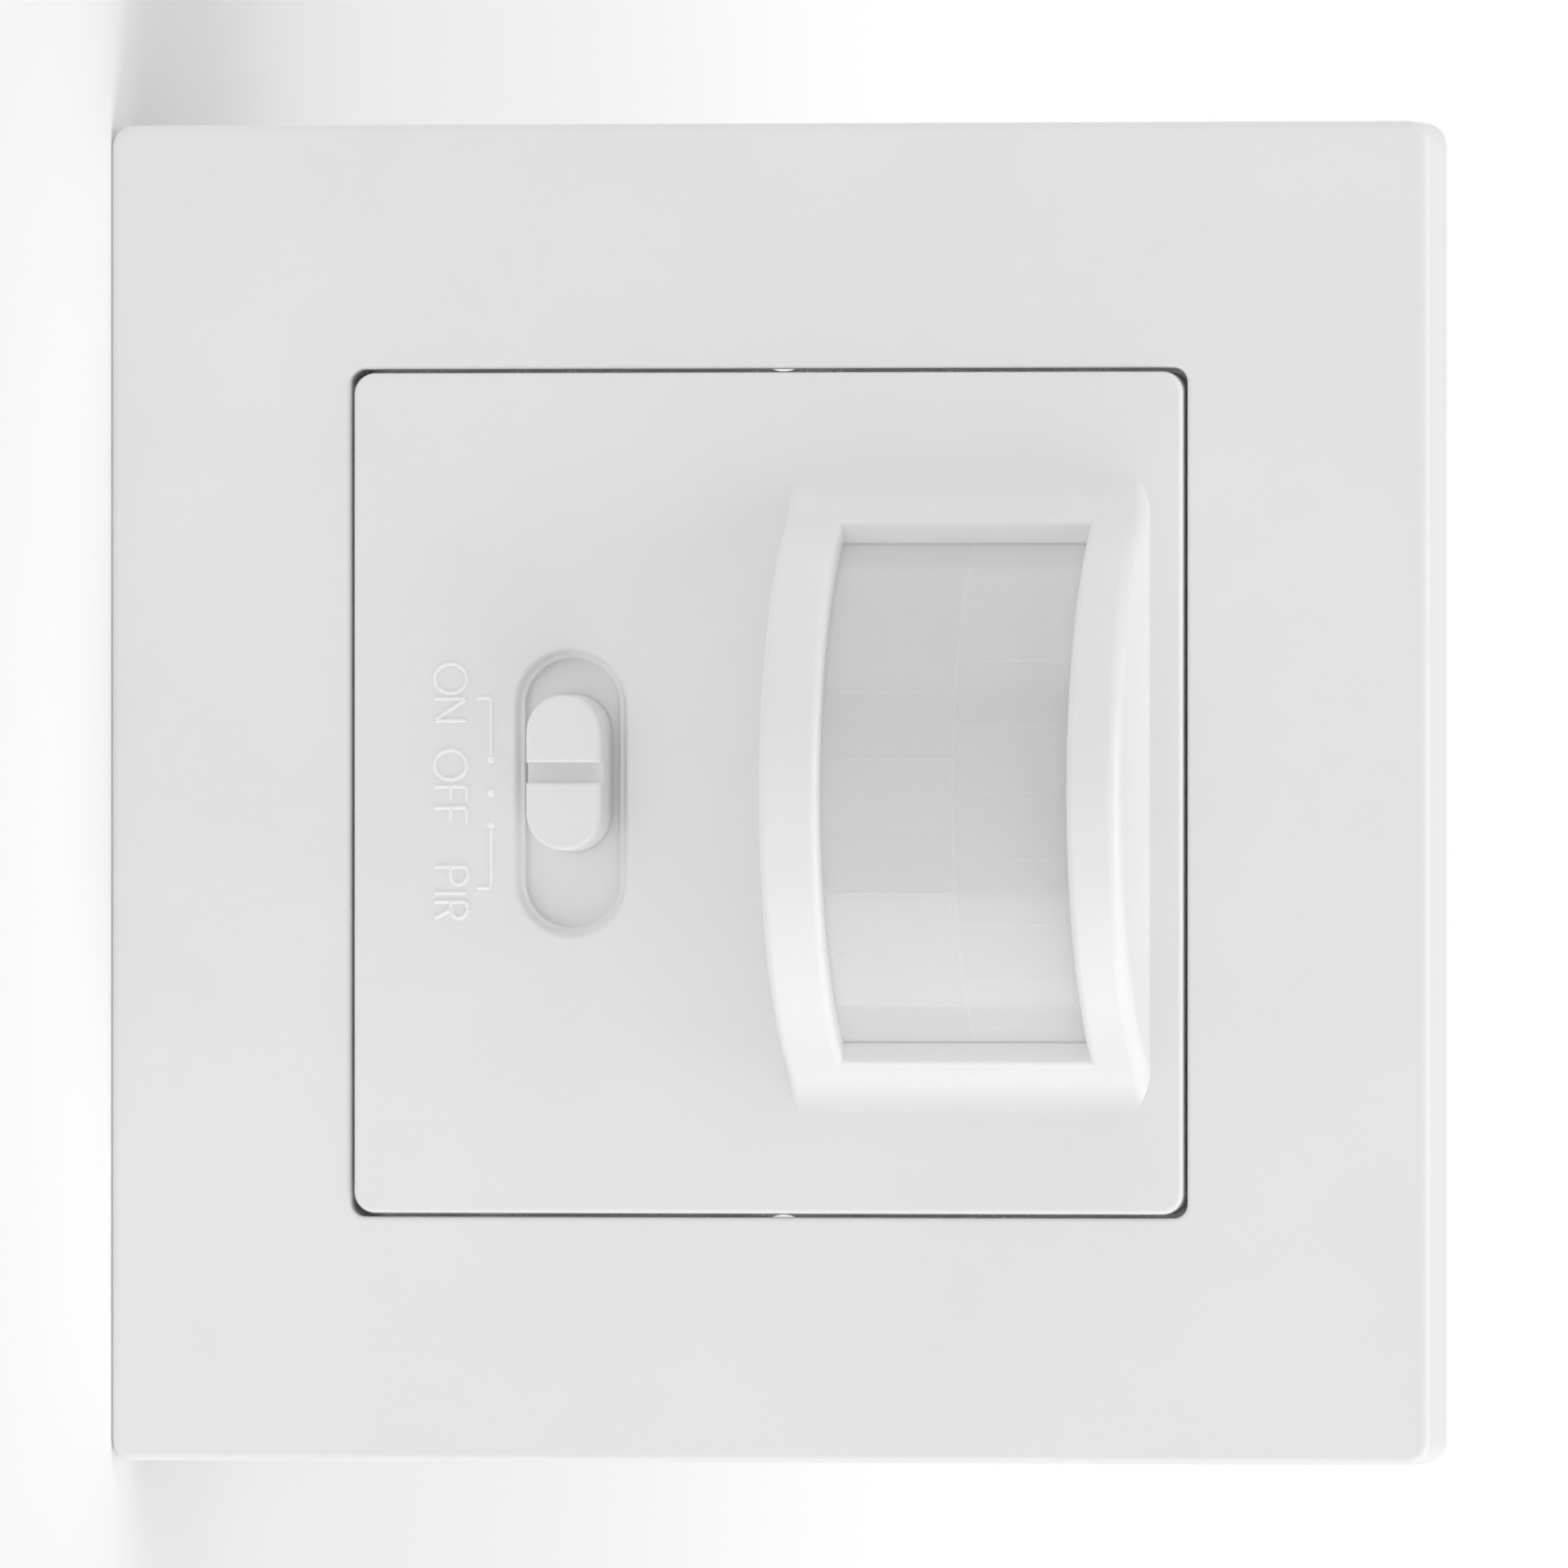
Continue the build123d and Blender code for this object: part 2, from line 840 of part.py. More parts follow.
def leaded(body, pins, near, far):
    """A body with straight leads from the board's near side to past its far side."""
    end = far + lead_length if far > near else far - lead_length
    front, back = min(near, end), max(near, end)
    return fuse_all([body] + [rod(lead_radius, front, back, x, z) for x, z in pins])


def make_controller_chip():
    half_length = chip_length / 2
    body = block(
        (chip_x - chip_width / 2, sensor_board_depth - chip_height, chip_z - half_length),
        (chip_x + chip_width / 2, sensor_board_depth - chip_leg_thickness / 2, chip_z + half_length),
    )
    legs = []
    for i in range(chip_legs_a_side):
        z = chip_z + (i - (chip_legs_a_side - 1) / 2) * chip_leg_pitch
        legs.append(
            block(
                (
                    chip_x - chip_width / 2 - chip_leg_reach,
                    sensor_board_depth - chip_leg_thickness,
                    z - chip_leg_width / 2,
                ),
                (
                    chip_x + chip_width / 2 + chip_leg_reach,
                    sensor_board_depth,
                    z + chip_leg_width / 2,
                ),
            )
        )
    return fuse_all([body] + legs)


def can_places():
    return [(small_can_x, small_can_z + side * small_can_pitch / 2) for side in (-1, 1)]


def can_pins():
    reach = small_can_radius / 2
    return [(x + side * reach, z) for x, z in can_places() for side in (-1, 1)]


def make_sensor_capacitors():
    cans = []
    for x, z in can_places():
        can = rod(
            small_can_radius, sensor_board_depth - small_can_height, sensor_board_depth, x, z
        )
        pins = [(x + side * small_can_radius / 2, z) for side in (-1, 1)]
        cans.append(leaded(can, pins, sensor_board_depth, sensor_board_back))
    return Compound(cans)


# Pins between the boards
def header_places():
    return [
        (header_x, (i - (header_pin_count - 1) / 2) * header_pin_pitch)
        for i in range(header_pin_count)
    ]


def header_holes():
    return [(x, z, header_pin_side / sqrt(2)) for x, z in header_places()]


def make_board_header():
    half_length = header_pin_count * header_pin_pitch / 2
    body = block(
        (header_x - header_body_width / 2, sensor_board_back, -half_length),
        (header_x + header_body_width / 2, power_board_front, half_length),
    )
    half = header_pin_side / 2
    pins = [
        block(
            (x - half, sensor_board_depth - lead_length, z - half),
            (x + half, power_board_back + lead_length, z + half),
        )
        for x, z in header_places()
    ]
    return fuse_all([body] + pins)


# Relay: case, base with pins, yoke with core, coil, armature and fixed contact
def relay_pins():
    reach = relay_length / 2 - 3 * relay_wall
    side = relay_width / 2 - 3 * relay_wall
    return [(relay_x + i * reach, relay_z + k * side) for i, k in corner_signs]


def relay_box(margin, front, back):
    """A block centred on the relay, smaller than its outside by a margin."""
    half_length = relay_length / 2 - margin
    half_width = relay_width / 2 - margin
    return block(
        (relay_x - half_length, front, relay_z - half_width),
        (relay_x + half_length, back, relay_z + half_width),
    )


def relay_levels():
    """Depths of the base, the yoke's foot, the coil, the pole and the armature."""
    base_back = power_board_back + relay_base_thickness
    coil_front = base_back + relay_yoke_thickness
    coil_back = coil_front + relay_coil_length
    pole_back = coil_back + relay_pole_thickness
    return base_back, coil_front, coil_back, pole_back, pole_back + armature_gap


def make_relay_case():
    back = power_board_back + relay_height
    inside = relay_box(relay_wall, power_board_back - overrun, back - relay_wall)
    return relay_box(0, power_board_back, back) - inside


def make_relay_base():
    base = relay_box(relay_wall + slip_gap, power_board_back, relay_levels()[0])
    return leaded(base, relay_pins(), power_board_back, power_board_front)


def make_relay_yoke():
    base_back, coil_front, coil_back, pole_back, armature_front = relay_levels()
    core_x = relay_x + relay_core_x
    post_x = core_x + relay_yoke_reach
    half_width = relay_yoke_width / 2
    foot = block(
        (core_x - relay_core_radius, base_back, relay_z - half_width),
        (post_x, coil_front, relay_z + half_width),
    )
    post = block(
        (post_x - relay_yoke_thickness, base_back, relay_z - half_width),
        (post_x, armature_front - armature_hinge_gap, relay_z + half_width),
    )
    core = rod(relay_core_radius, coil_front, pole_back, core_x, relay_z)
    pole = rod(relay_pole_radius, coil_back, pole_back, core_x, relay_z)
    return foot + post + core + pole


def make_relay_coil():
    coil_front, coil_back = relay_levels()[1:3]
    core_x = relay_x + relay_core_x
    winding = rod(relay_coil_radius, coil_front, coil_back, core_x, relay_z)
    flanges = [
        rod(relay_flange_radius, start, start + relay_flange_thickness, core_x, relay_z)
        for start in (coil_front, coil_back - relay_flange_thickness)
    ]
    hole = rod(
        relay_core_radius + pin_gap, coil_front - overrun, coil_back + overrun, core_x, relay_z
    )
    return fuse_all([winding] + flanges) - hole


def armature_tip_x():
    return relay_x + relay_core_x - relay_flange_radius - clear_gap - 2 * contact_tip_radius


def make_relay_armature():
    front = relay_levels()[4]
    post_x = relay_x + relay_core_x + relay_yoke_reach
    plate = block(
        (armature_tip_x(), front, relay_z - armature_width / 2),
        (post_x, front + armature_thickness, relay_z + armature_width / 2),
    )
    tip = rod(
        contact_tip_radius,
        front - contact_tip_height,
        front,
        armature_tip_x() + contact_tip_radius,
        relay_z,
    )
    return plate + tip


def make_relay_contact():
    base_back = relay_levels()[0]
    tip_back = relay_levels()[4] - contact_tip_height - contact_gap
    shelf_back = tip_back - contact_tip_height
    x = armature_tip_x() + contact_tip_radius
    post = block(
        (x - contact_tip_radius, base_back, relay_z - contact_post_width / 2),
        (
            x - contact_tip_radius + contact_post_thickness,
            shelf_back,
            relay_z + contact_post_width / 2,
        ),
    )
    foot = block(
        (x - contact_tip_radius, base_back, relay_z - contact_foot_width / 2),
        (
            x + contact_tip_radius,
            base_back + contact_post_thickness,
            relay_z + contact_foot_width / 2,
        ),
    )
    shelf = block(
        (
            x - contact_tip_radius,
            shelf_back - contact_post_thickness,
            relay_z - contact_post_width / 2,
        ),
        (x + contact_tip_radius, shelf_back, relay_z + contact_post_width / 2),
    )
    tip = rod(contact_tip_radius, shelf_back, tip_back, x, relay_z)
    return post + foot + shelf + tip


# Other parts on the power board
def film_pins():
    return [(film_x + side * (film_length / 2 - film_width / 4), film_z) for side in (-1, 1)]


def make_film_capacitor():
    body = block(
        (film_x - film_length / 2, power_board_back, film_z - film_width / 2),
        (film_x + film_length / 2, power_board_back + film_height, film_z + film_width / 2),
    )
    return leaded(body, film_pins(), power_board_back, power_board_front)


def smoother_pins():
    return [(smoother_x + side * smoother_radius / 2, smoother_z) for side in (-1, 1)]


def make_smoothing_capacitor():
    back = power_board_back + smoother_height
    can = rod(smoother_radius, power_board_back, back, smoother_x, smoother_z)
    groove_level = power_board_back + smoother_radius / 2
    groove = rod(smoother_radius, groove_level, groove_level + switch_sheet, smoother_x, smoother_z)
    groove = groove - rod(
        smoother_radius - switch_sheet / 2,
        groove_level - overrun,
        groove_level + overrun,
        smoother_x,
        smoother_z,
    )
    return leaded(can - groove, smoother_pins(), power_board_back, power_board_front)


def varistor_pins():
    return [(varistor_x + side * varistor_radius / 2, varistor_z) for side in (-1, 1)]


def make_varistor():
    centre_y = power_board_back + varistor_radius + axial_standoff
    disc = drum(
        varistor_radius,
        varistor_z - varistor_thickness / 2,
        varistor_z + varistor_thickness / 2,
        varistor_x,
        centre_y,
    )
    end = power_board_front - lead_length
    leads = [rod(lead_radius, end, centre_y, x, z) for x, z in varistor_pins()]
    return fuse_all([disc] + leads)


def axial_pins(x, z, length):
    """Lead places of a part that lies along X."""
    return [(x + side * (length / 2 + axial_reach), z) for side in (-1, 1)]


def axial_part(x, z, length, radius):
    """A part that lies along X above the board, on two bent leads."""
    centre_y = power_board_back + radius + axial_standoff
    body = Pos(x, centre_y, z) * Rot(0, 90, 0) * Cylinder(radius, length)
    span = length + 2 * axial_reach
    wire = Pos(x, centre_y, z) * Rot(0, 90, 0) * Cylinder(lead_radius, span)
    end = power_board_front - lead_length
    drops = [
        rod(lead_radius, end, centre_y + lead_radius, place_x, z)
        for place_x, z in axial_pins(x, z, length)
    ]
    return fuse_all([body, wire] + drops)


def fuse_pins():
    return axial_pins(fuse_x, fuse_z, fuse_length)


def make_fuse_resistor():
    return axial_part(fuse_x, fuse_z, fuse_length, fuse_radius)


def diode_places():
    return [(diode_first_x, diode_z - i * diode_pitch) for i in range(diode_count)]


def diode_pins():
    return [pin for x, z in diode_places() for pin in axial_pins(x, z, diode_length)]


def make_rectifier_diodes():
    return Compound([axial_part(x, z, diode_length, diode_radius) for x, z in diode_places()])


# Trimmers: a body on the board and a rotor whose shaft reaches the back wall
def trimmer_places():
    """The time trimmer stands above the daylight trimmer."""
    return [(trimmer_x, trimmer_z + side * trimmer_pitch / 2) for side in (1, -1)]


def trimmer_pins():
    reach = trimmer_side / 2 - 3 * lead_radius
    return [(x, z + side * reach) for x, z in trimmer_places() for side in (-1, 1)]


def make_trimmer_body(x, z):
    back = power_board_back + trimmer_height
    half = trimmer_side / 2
    body = block((x - half, power_board_back, z - half), (x + half, back, z + half))
    body = body - rod(
        trimmer_shaft_radius + pin_gap, back - trimmer_bore_depth, back + overrun, x, z
    )
    reach = half - 3 * lead_radius
    pins = [(x, z - reach), (x, z + reach)]
    return leaded(body, pins, power_board_back, power_board_front)


def make_trimmer_rotor(x, z):
    body_back = power_board_back + trimmer_height
    shaft_back = housing_depth - trimmer_shaft_sink
    shaft = rod(
        trimmer_shaft_radius, body_back - trimmer_bore_depth + slip_gap, shaft_back, x, z
    )
    collar_front = body_back + slip_gap
    collar = rod(
        trimmer_collar_radius, collar_front, collar_front + trimmer_collar_height, x, z
    )
    slot = block(
        (x - trimmer_collar_radius, shaft_back - trimmer_slot_depth, z - trimmer_slot_width / 2),
        (x + trimmer_collar_radius, shaft_back + overrun, z + trimmer_slot_width / 2),
    )
    return shaft + collar - slot


# Supply terminals: a block of three poles with a cage and a screw in each
def pole_places():
    return [(i - (pole_count - 1) / 2) * pole_pitch for i in range(pole_count)]


def block_half_width():
    return pole_count * pole_pitch / 2 + block_end_wall


def block_front():
    """The block's front wall takes its share of the depth between the board and the cages."""
    cage_front = cage_levels()[0]
    return cage_front - block_front_wall_share * (cage_front - power_board_back)


def wire_y():
    return housing_depth - wire_hole_depth


def cage_levels():
    """Depths of the cage's front and back."""
    back = housing_depth - terminal_head_sink - terminal_head_height - slip_gap
    return back - cage_depth, back


def cage_span():
    """Lowest and highest Z of a cage."""
    return -housing_half + block_floor + slip_gap, -housing_half + block_height - block_partition


def tail_z():
    low, high = cage_span()
    return high - terminal_tail_side


def screw_z():
    low, high = cage_span()
    return (low + high) / 2


def make_terminal_block():
    half = block_half_width()
    body = block(
        (-half, block_front(), -housing_half),
        (half, housing_depth, -housing_half + block_height),
    )
    cage_front, cage_back = cage_levels()
    cage_low, cage_high = cage_span()
    half_pocket = (pole_pitch - block_partition) / 2
    for x in pole_places():
        body = body - block(
            (x - half_pocket, cage_front - slip_gap, cage_low - slip_gap),
            (x + half_pocket, cage_back + slip_gap, cage_high + slip_gap),
        )
        body = body - drum(
            wire_hole_radius, -housing_half - overrun, cage_low, x=x, y=wire_y()
        )
        body = body - rod(
            terminal_head_radius + slip_gap, cage_back, housing_depth + overrun, x, screw_z()
        )
        half_tail = terminal_tail_side / 2 + slip_gap
        body = body - block(
            (x - half_tail, block_front() - overrun, tail_z() - half_tail),
            (x + half_tail, cage_front, tail_z() + half_tail),
        )
    return body


def make_terminal_cages():
    cage_front, cage_back = cage_levels()
    cage_low, cage_high = cage_span()
    half_cage = (pole_pitch - block_partition) / 2 - slip_gap
    half_tail = terminal_tail_side / 2
    cages = []
    for x in pole_places():
        cage = block((x - half_cage, cage_front, cage_low), (x + half_cage, cage_back, cage_high))
        cage = cage - drum(
            wire_hole_radius + slip_gap, cage_low - overrun, cage_high + overrun, x=x, y=wire_y()
        )
        cage = cage - rod(
            terminal_screw_radius + pin_gap, wire_y(), cage_back + overrun, x, screw_z()
        )
        tail = block(
            (x - half_tail, power_board_front - lead_length, tail_z() - half_tail),
            (x + half_tail, cage_front, tail_z() + half_tail),
        )
        cages.append(cage + tail)
    return Compound(cages)


def make_terminal_screws():
    cage_back = cage_levels()[1]
    tip = wire_y() + wire_hole_radius + slip_gap
    screws = []
    for x in pole_places():
        head = rod(
            terminal_head_radius, cage_back, cage_back + terminal_head_height, x, screw_z()
        )
        shank = rod(terminal_screw_radius, tip, cage_back, x, screw_z())
        slot = block(
            (
                x - terminal_head_radius,
                cage_back + terminal_head_height / 2,
                screw_z() - trimmer_slot_width / 2,
            ),
            (
                x + terminal_head_radius,
                cage_back + terminal_head_height + overrun,
                screw_z() + trimmer_slot_width / 2,
            ),
        )
        screws.append(head + shank - slot)
    return Compound(screws)


# Back housing: an open box with four screw posts and a notch for the terminals
def make_back_housing():
    inner_back = housing_depth - housing_back
    inner_radius = housing_corner_radius - housing_wall
    box = slab(
        2 * housing_half, 2 * housing_half, housing_corner_radius, -strap_step, housing_depth
    )
    box = box - slab(
        2 * housing_inner, 2 * housing_inner, inner_radius, -strap_step - overrun, inner_back
    )
    posts = [
        rod(post_radius, power_board_back, inner_back + overrun / 2, i * post_place, k * post_place)
        for i, k in corner_signs
    ]
    limit = slab(
        2 * housing_half, 2 * housing_half, housing_corner_radius, -strap_step, housing_depth
    )
    box = box + [post & limit for post in posts]
    for i, k in corner_signs:
        x, z = i * post_place, k * post_place
        box = box - rod(screw_hole_radius, power_board_back - overrun, head_seat, x, z)
        box = box - rod(screw_head_radius + slip_gap, head_seat, housing_depth + overrun, x, z)
    half = block_half_width() + slip_gap
    box = box - block(
        (-half, block_front() - slip_gap, -housing_half - overrun),
        (half, housing_depth + overrun, -housing_half + block_height + slip_gap),
    )
    for x, z in trimmer_places():
        box = box - rod(
            trimmer_shaft_radius + clear_gap, inner_back - overrun, housing_depth + overrun, x, z
        )
    return box


def make_housing_screws():
    screws = []
    tip = sensor_board_depth - screw_tip_depth
    head_back = head_seat + screw_head_height
    for i, k in corner_signs:
        x, z = i * post_place, k * post_place
        screw = rod(screw_radius, tip, head_seat, x, z)
        screw = screw + rod(screw_head_radius, head_seat, head_back, x, z)
        for wide, tall in ((1, 0), (0, 1)):
            half_x = (screw_head_radius * wide + screw_recess_width * tall) / 2
            half_z = (screw_head_radius * tall + screw_recess_width * wide) / 2
            screw = screw - block(
                (x - half_x, head_back - screw_recess_depth, z - half_z),
                (x + half_x, head_back + overrun, z + half_z),
            )
        screws.append(screw)
    return Compound(screws)


# Every piece by its name
time_place, lux_place = trimmer_places()
pieces = {
    "outer_frame": make_outer_frame(),
    "mounting_strap": make_mounting_strap(),
    "front_insert": make_front_insert(),
    "fresnel_lens": make_fresnel_lens(),
    "lens_retainer": make_lens_retainer(),
    "slider_knob": make_slider_knob(),
    "slide_switch_frame": make_slide_switch_frame(),
    "slide_switch_base": make_slide_switch_base(),
    "slide_switch_actuator": make_slide_switch_actuator(),
    "slide_switch_contact": make_slide_switch_contact(),
    "sensor_board": make_board(sensor_board_depth, sensor_board_leads()),
    "pir_header": make_pir_header(),
    "pir_can": make_pir_can(),
    "pir_filter": make_pir_filter(),
    "pir_element": make_pir_element(),
    "light_sensor": make_light_sensor(),
    "controller_chip": make_controller_chip(),
    "sensor_capacitors": make_sensor_capacitors(),
    "board_header": make_board_header(),
    "board_spacers": make_board_spacers(),
    "power_board": make_board(power_board_front, power_board_leads()),
    "relay_case": make_relay_case(),
    "relay_base": make_relay_base(),
    "relay_yoke": make_relay_yoke(),
    "relay_coil": make_relay_coil(),
    "relay_armature": make_relay_armature(),
    "relay_contact": make_relay_contact(),
    "film_capacitor": make_film_capacitor(),
    "smoothing_capacitor": make_smoothing_capacitor(),
    "varistor": make_varistor(),
    "fuse_resistor": make_fuse_resistor(),
    "rectifier_diodes": make_rectifier_diodes(),
    "time_trimmer_body": make_trimmer_body(*time_place),
    "time_trimmer_rotor": make_trimmer_rotor(*time_place),
    "lux_trimmer_body": make_trimmer_body(*lux_place),
    "lux_trimmer_rotor": make_trimmer_rotor(*lux_place),
    "terminal_block": make_terminal_block(),
    "terminal_cages": make_terminal_cages(),
    "terminal_screws": make_terminal_screws(),
    "back_housing": make_back_housing(),
    "housing_screws": make_housing_screws(),
}

os.makedirs("parts", exist_ok=True)
for name, shape in pieces.items():
    export_step(shape, f"parts/{name}.step")
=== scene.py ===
"""A motion sensor wall switch, dressed for its portrait.

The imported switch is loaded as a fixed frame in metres: X runs right across the plate, Z runs
up and the front looks to -Y. Each sub-assembly is a class that finishes its own nodes and adds
the fine moulded detail that they carry.
"""

import logging
from dataclasses import dataclass, field
from enum import Enum
from math import asin, ceil, cos, floor, hypot, pi, radians, sin
from typing import Any, Callable, Iterable

import bmesh
import bpy
from mathutils import Matrix, Vector


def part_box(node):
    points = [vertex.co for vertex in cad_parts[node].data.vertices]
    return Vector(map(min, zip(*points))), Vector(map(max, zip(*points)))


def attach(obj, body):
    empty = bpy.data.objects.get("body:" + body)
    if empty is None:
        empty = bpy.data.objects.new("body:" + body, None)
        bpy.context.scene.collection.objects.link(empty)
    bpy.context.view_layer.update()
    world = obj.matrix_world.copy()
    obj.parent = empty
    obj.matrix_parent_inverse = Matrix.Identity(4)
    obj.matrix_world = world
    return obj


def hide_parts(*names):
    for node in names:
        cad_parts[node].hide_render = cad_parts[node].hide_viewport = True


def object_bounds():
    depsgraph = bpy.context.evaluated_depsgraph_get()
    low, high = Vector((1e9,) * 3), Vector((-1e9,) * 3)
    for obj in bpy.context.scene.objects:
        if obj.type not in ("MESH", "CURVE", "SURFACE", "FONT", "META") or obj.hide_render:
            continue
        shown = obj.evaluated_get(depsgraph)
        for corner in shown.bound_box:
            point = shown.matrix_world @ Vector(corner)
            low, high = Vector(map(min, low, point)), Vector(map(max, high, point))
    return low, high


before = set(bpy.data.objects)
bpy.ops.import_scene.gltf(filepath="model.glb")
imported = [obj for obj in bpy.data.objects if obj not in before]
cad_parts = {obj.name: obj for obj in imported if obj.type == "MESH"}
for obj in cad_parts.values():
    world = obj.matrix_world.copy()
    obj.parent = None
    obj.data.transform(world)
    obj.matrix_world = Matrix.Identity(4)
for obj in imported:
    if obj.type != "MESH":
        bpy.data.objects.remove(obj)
cad_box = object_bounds()

log = logging.getLogger("wall_switch")
MM = 0.001

Colour = tuple[float, float, float]
Place = tuple[float, float, float]
Point = tuple[float, float]
Stroke = list[Point]


class Row(Enum):
    """The two rows of cells on the lens: which side of the seam, and how far they are staggered."""

    LOWER = 0.5
    UPPER = 0.0


class Facing(Enum):
    """Which way raised marks look: the matrix lays flat marks on a face of the switch."""

    FRONT = ((1, 0, 0), (0, 0, -1), (0, 1, 0))
    BACK = ((-1, 0, 0), (0, 0, 1), (0, 1, 0))

    def matrix(self, x: float, y: float, z: float) -> Matrix:
        """Gives the move from the marks' own flat drawing to a face.

        Args:
            x: Place of the drawing's origin across the switch.
            y: Depth of the face.
            z: Height of the drawing's origin.

        Returns:
            A matrix that turns the drawing to the face and moves it there.
        """
        return Matrix.Translation((x, y, z)) @ Matrix(self.value).to_4x4()


class Graph:
    """Builds the nodes of one shader or geometry tree."""

    def __init__(self, tree: bpy.types.NodeTree) -> None:
        """Keeps the tree that the nodes go into."""
        self.tree = tree

    def add(self, kind: str, inputs: dict[Any, Any] | None = None, **settings: Any) -> bpy.types.Node:
        """Adds a node and fills its inputs.

        Args:
            kind: The node's type name.
            inputs: Values or sockets for its inputs, by name or number.
            **settings: Values of the node's own options.

        Returns:
            The new node.
        """
        node = self.tree.nodes.new(kind)
        for name, value in settings.items():
            setattr(node, name, value)
        for key, value in (inputs or {}).items():
            if isinstance(value, bpy.types.NodeSocket):
                self.tree.links.new(value, node.inputs[key])
            else:
                node.inputs[key].default_value = value
        return node

    def math(self, operation: str, *values: Any) -> bpy.types.NodeSocket:
        """Adds a math node on numbers or sockets and gives its result."""
        return self.add(
            "ShaderNodeMath", dict(enumerate(values)), operation=operation
        ).outputs[0]

    def spread(self, value: Any, low: float, high: float) -> bpy.types.NodeSocket:
        """Stretches a value from 0 to 1 over the range from low to high."""
        inputs = {"Value": value, "To Min": low, "To Max": high}
        return self.add("ShaderNodeMapRange", inputs).outputs[0]

    def fade(self, value: Any, start: float, end: float) -> bpy.types.NodeSocket:
        """Runs smoothly from 0 at start to 1 at end."""
        inputs = {"Value": value, "From Min": start, "From Max": end}
        return self.add(
            "ShaderNodeMapRange", inputs, interpolation_type="SMOOTHSTEP"
        ).outputs[0]

    def noise(self, vector: Any, size: Any, detail: float = 2.0) -> bpy.types.NodeSocket:
        """Adds a noise whose features are as large as size, in metres."""
        scale = self.math("DIVIDE", 1.0, size)
        return self.add(
            "ShaderNodeTexNoise", {"Vector": vector, "Scale": scale, "Detail": detail}
        ).outputs[0]

    def mix(self, factor: Any, first: Any, second: Any) -> bpy.types.NodeSocket:
        """Mixes two colours by a factor and gives the result."""
        node = self.add("ShaderNodeMix", {0: factor, 6: first, 7: second}, data_type="RGBA")
        return node.outputs[2]


def rgba(colour: Colour) -> tuple[float, float, float, float]:
    """Gives a colour an alpha of 1."""
    return (*colour, 1.0)


def shader_group(
    name: str,
    inputs: dict[str, str],
    outputs: dict[str, str],
    fill: Callable[[Graph, bpy.types.Node], dict[str, Any]],
) -> bpy.types.NodeTree:
    """Builds an effect once and keeps it under its name.

    Args:
        name: The group's name.
        inputs: Kinds of the input sockets by name.
        outputs: Kinds of the output sockets by name.
        fill: Builds the inside from the graph and the group's input node.

    Returns:
        The node group.
    """
    if name in bpy.data.node_groups:
        return bpy.data.node_groups[name]
    tree = bpy.data.node_groups.new(name, "ShaderNodeTree")
    for label, kind in inputs.items():
        tree.interface.new_socket(label, in_out="INPUT", socket_type=f"NodeSocket{kind}")
    for label, kind in outputs.items():
        tree.interface.new_socket(label, in_out="OUTPUT", socket_type=f"NodeSocket{kind}")
    graph = Graph(tree)
    results = fill(graph, graph.add("NodeGroupInput"))
    graph.add("NodeGroupOutput", results)
    return tree


def grain_group() -> bpy.types.NodeTree:
    """Builds the eroded grain and slow tone of moulded plastic.

    Returns:
        The node group.
    """
    fine_detail, slow_detail = 3.0, 2.0
    slow_scale = 60.0
    gloss_share = 0.12

    def fill(graph: Graph, given: bpy.types.Node) -> dict[str, Any]:
        """Builds a fine pitted grain, a slow drift of tone and a matching gloss.

        Args:
            graph: The group's graph.
            given: Its input node.

        Returns:
            The group's outputs by name.
        """
        vector, size = given.outputs["Vector"], given.outputs["Size"]
        fine = graph.noise(vector, size, fine_detail)
        slow = graph.noise(vector, graph.math("MULTIPLY", size, slow_scale), slow_detail)
        drift = graph.math("SUBTRACT", slow, 0.5)
        speck = graph.math("SUBTRACT", fine, 0.5)
        tone = graph.math("MULTIPLY", drift, given.outputs["Tone"])
        tone = graph.math("ADD", graph.math("MULTIPLY", speck, given.outputs["Speck"]), tone)
        value = graph.math("ADD", 1.0, tone)
        colour = graph.add(
            "ShaderNodeHueSaturation", {"Value": value, "Color": given.outputs["Colour"]}
        ).outputs[0]
        change = graph.math("MULTIPLY", drift, gloss_share)
        gloss = graph.math("ADD", given.outputs["Roughness"], change)
        return {"Colour": colour, "Roughness": gloss, "Height": fine}

    return shader_group(
        "moulded_grain",
        {"Vector": "Vector", "Colour": "Color", "Roughness": "Float", "Size": "Float",
         "Tone": "Float", "Speck": "Float"},
        {"Colour": "Color", "Roughness": "Float", "Height": "Float"},
        fill,
    )


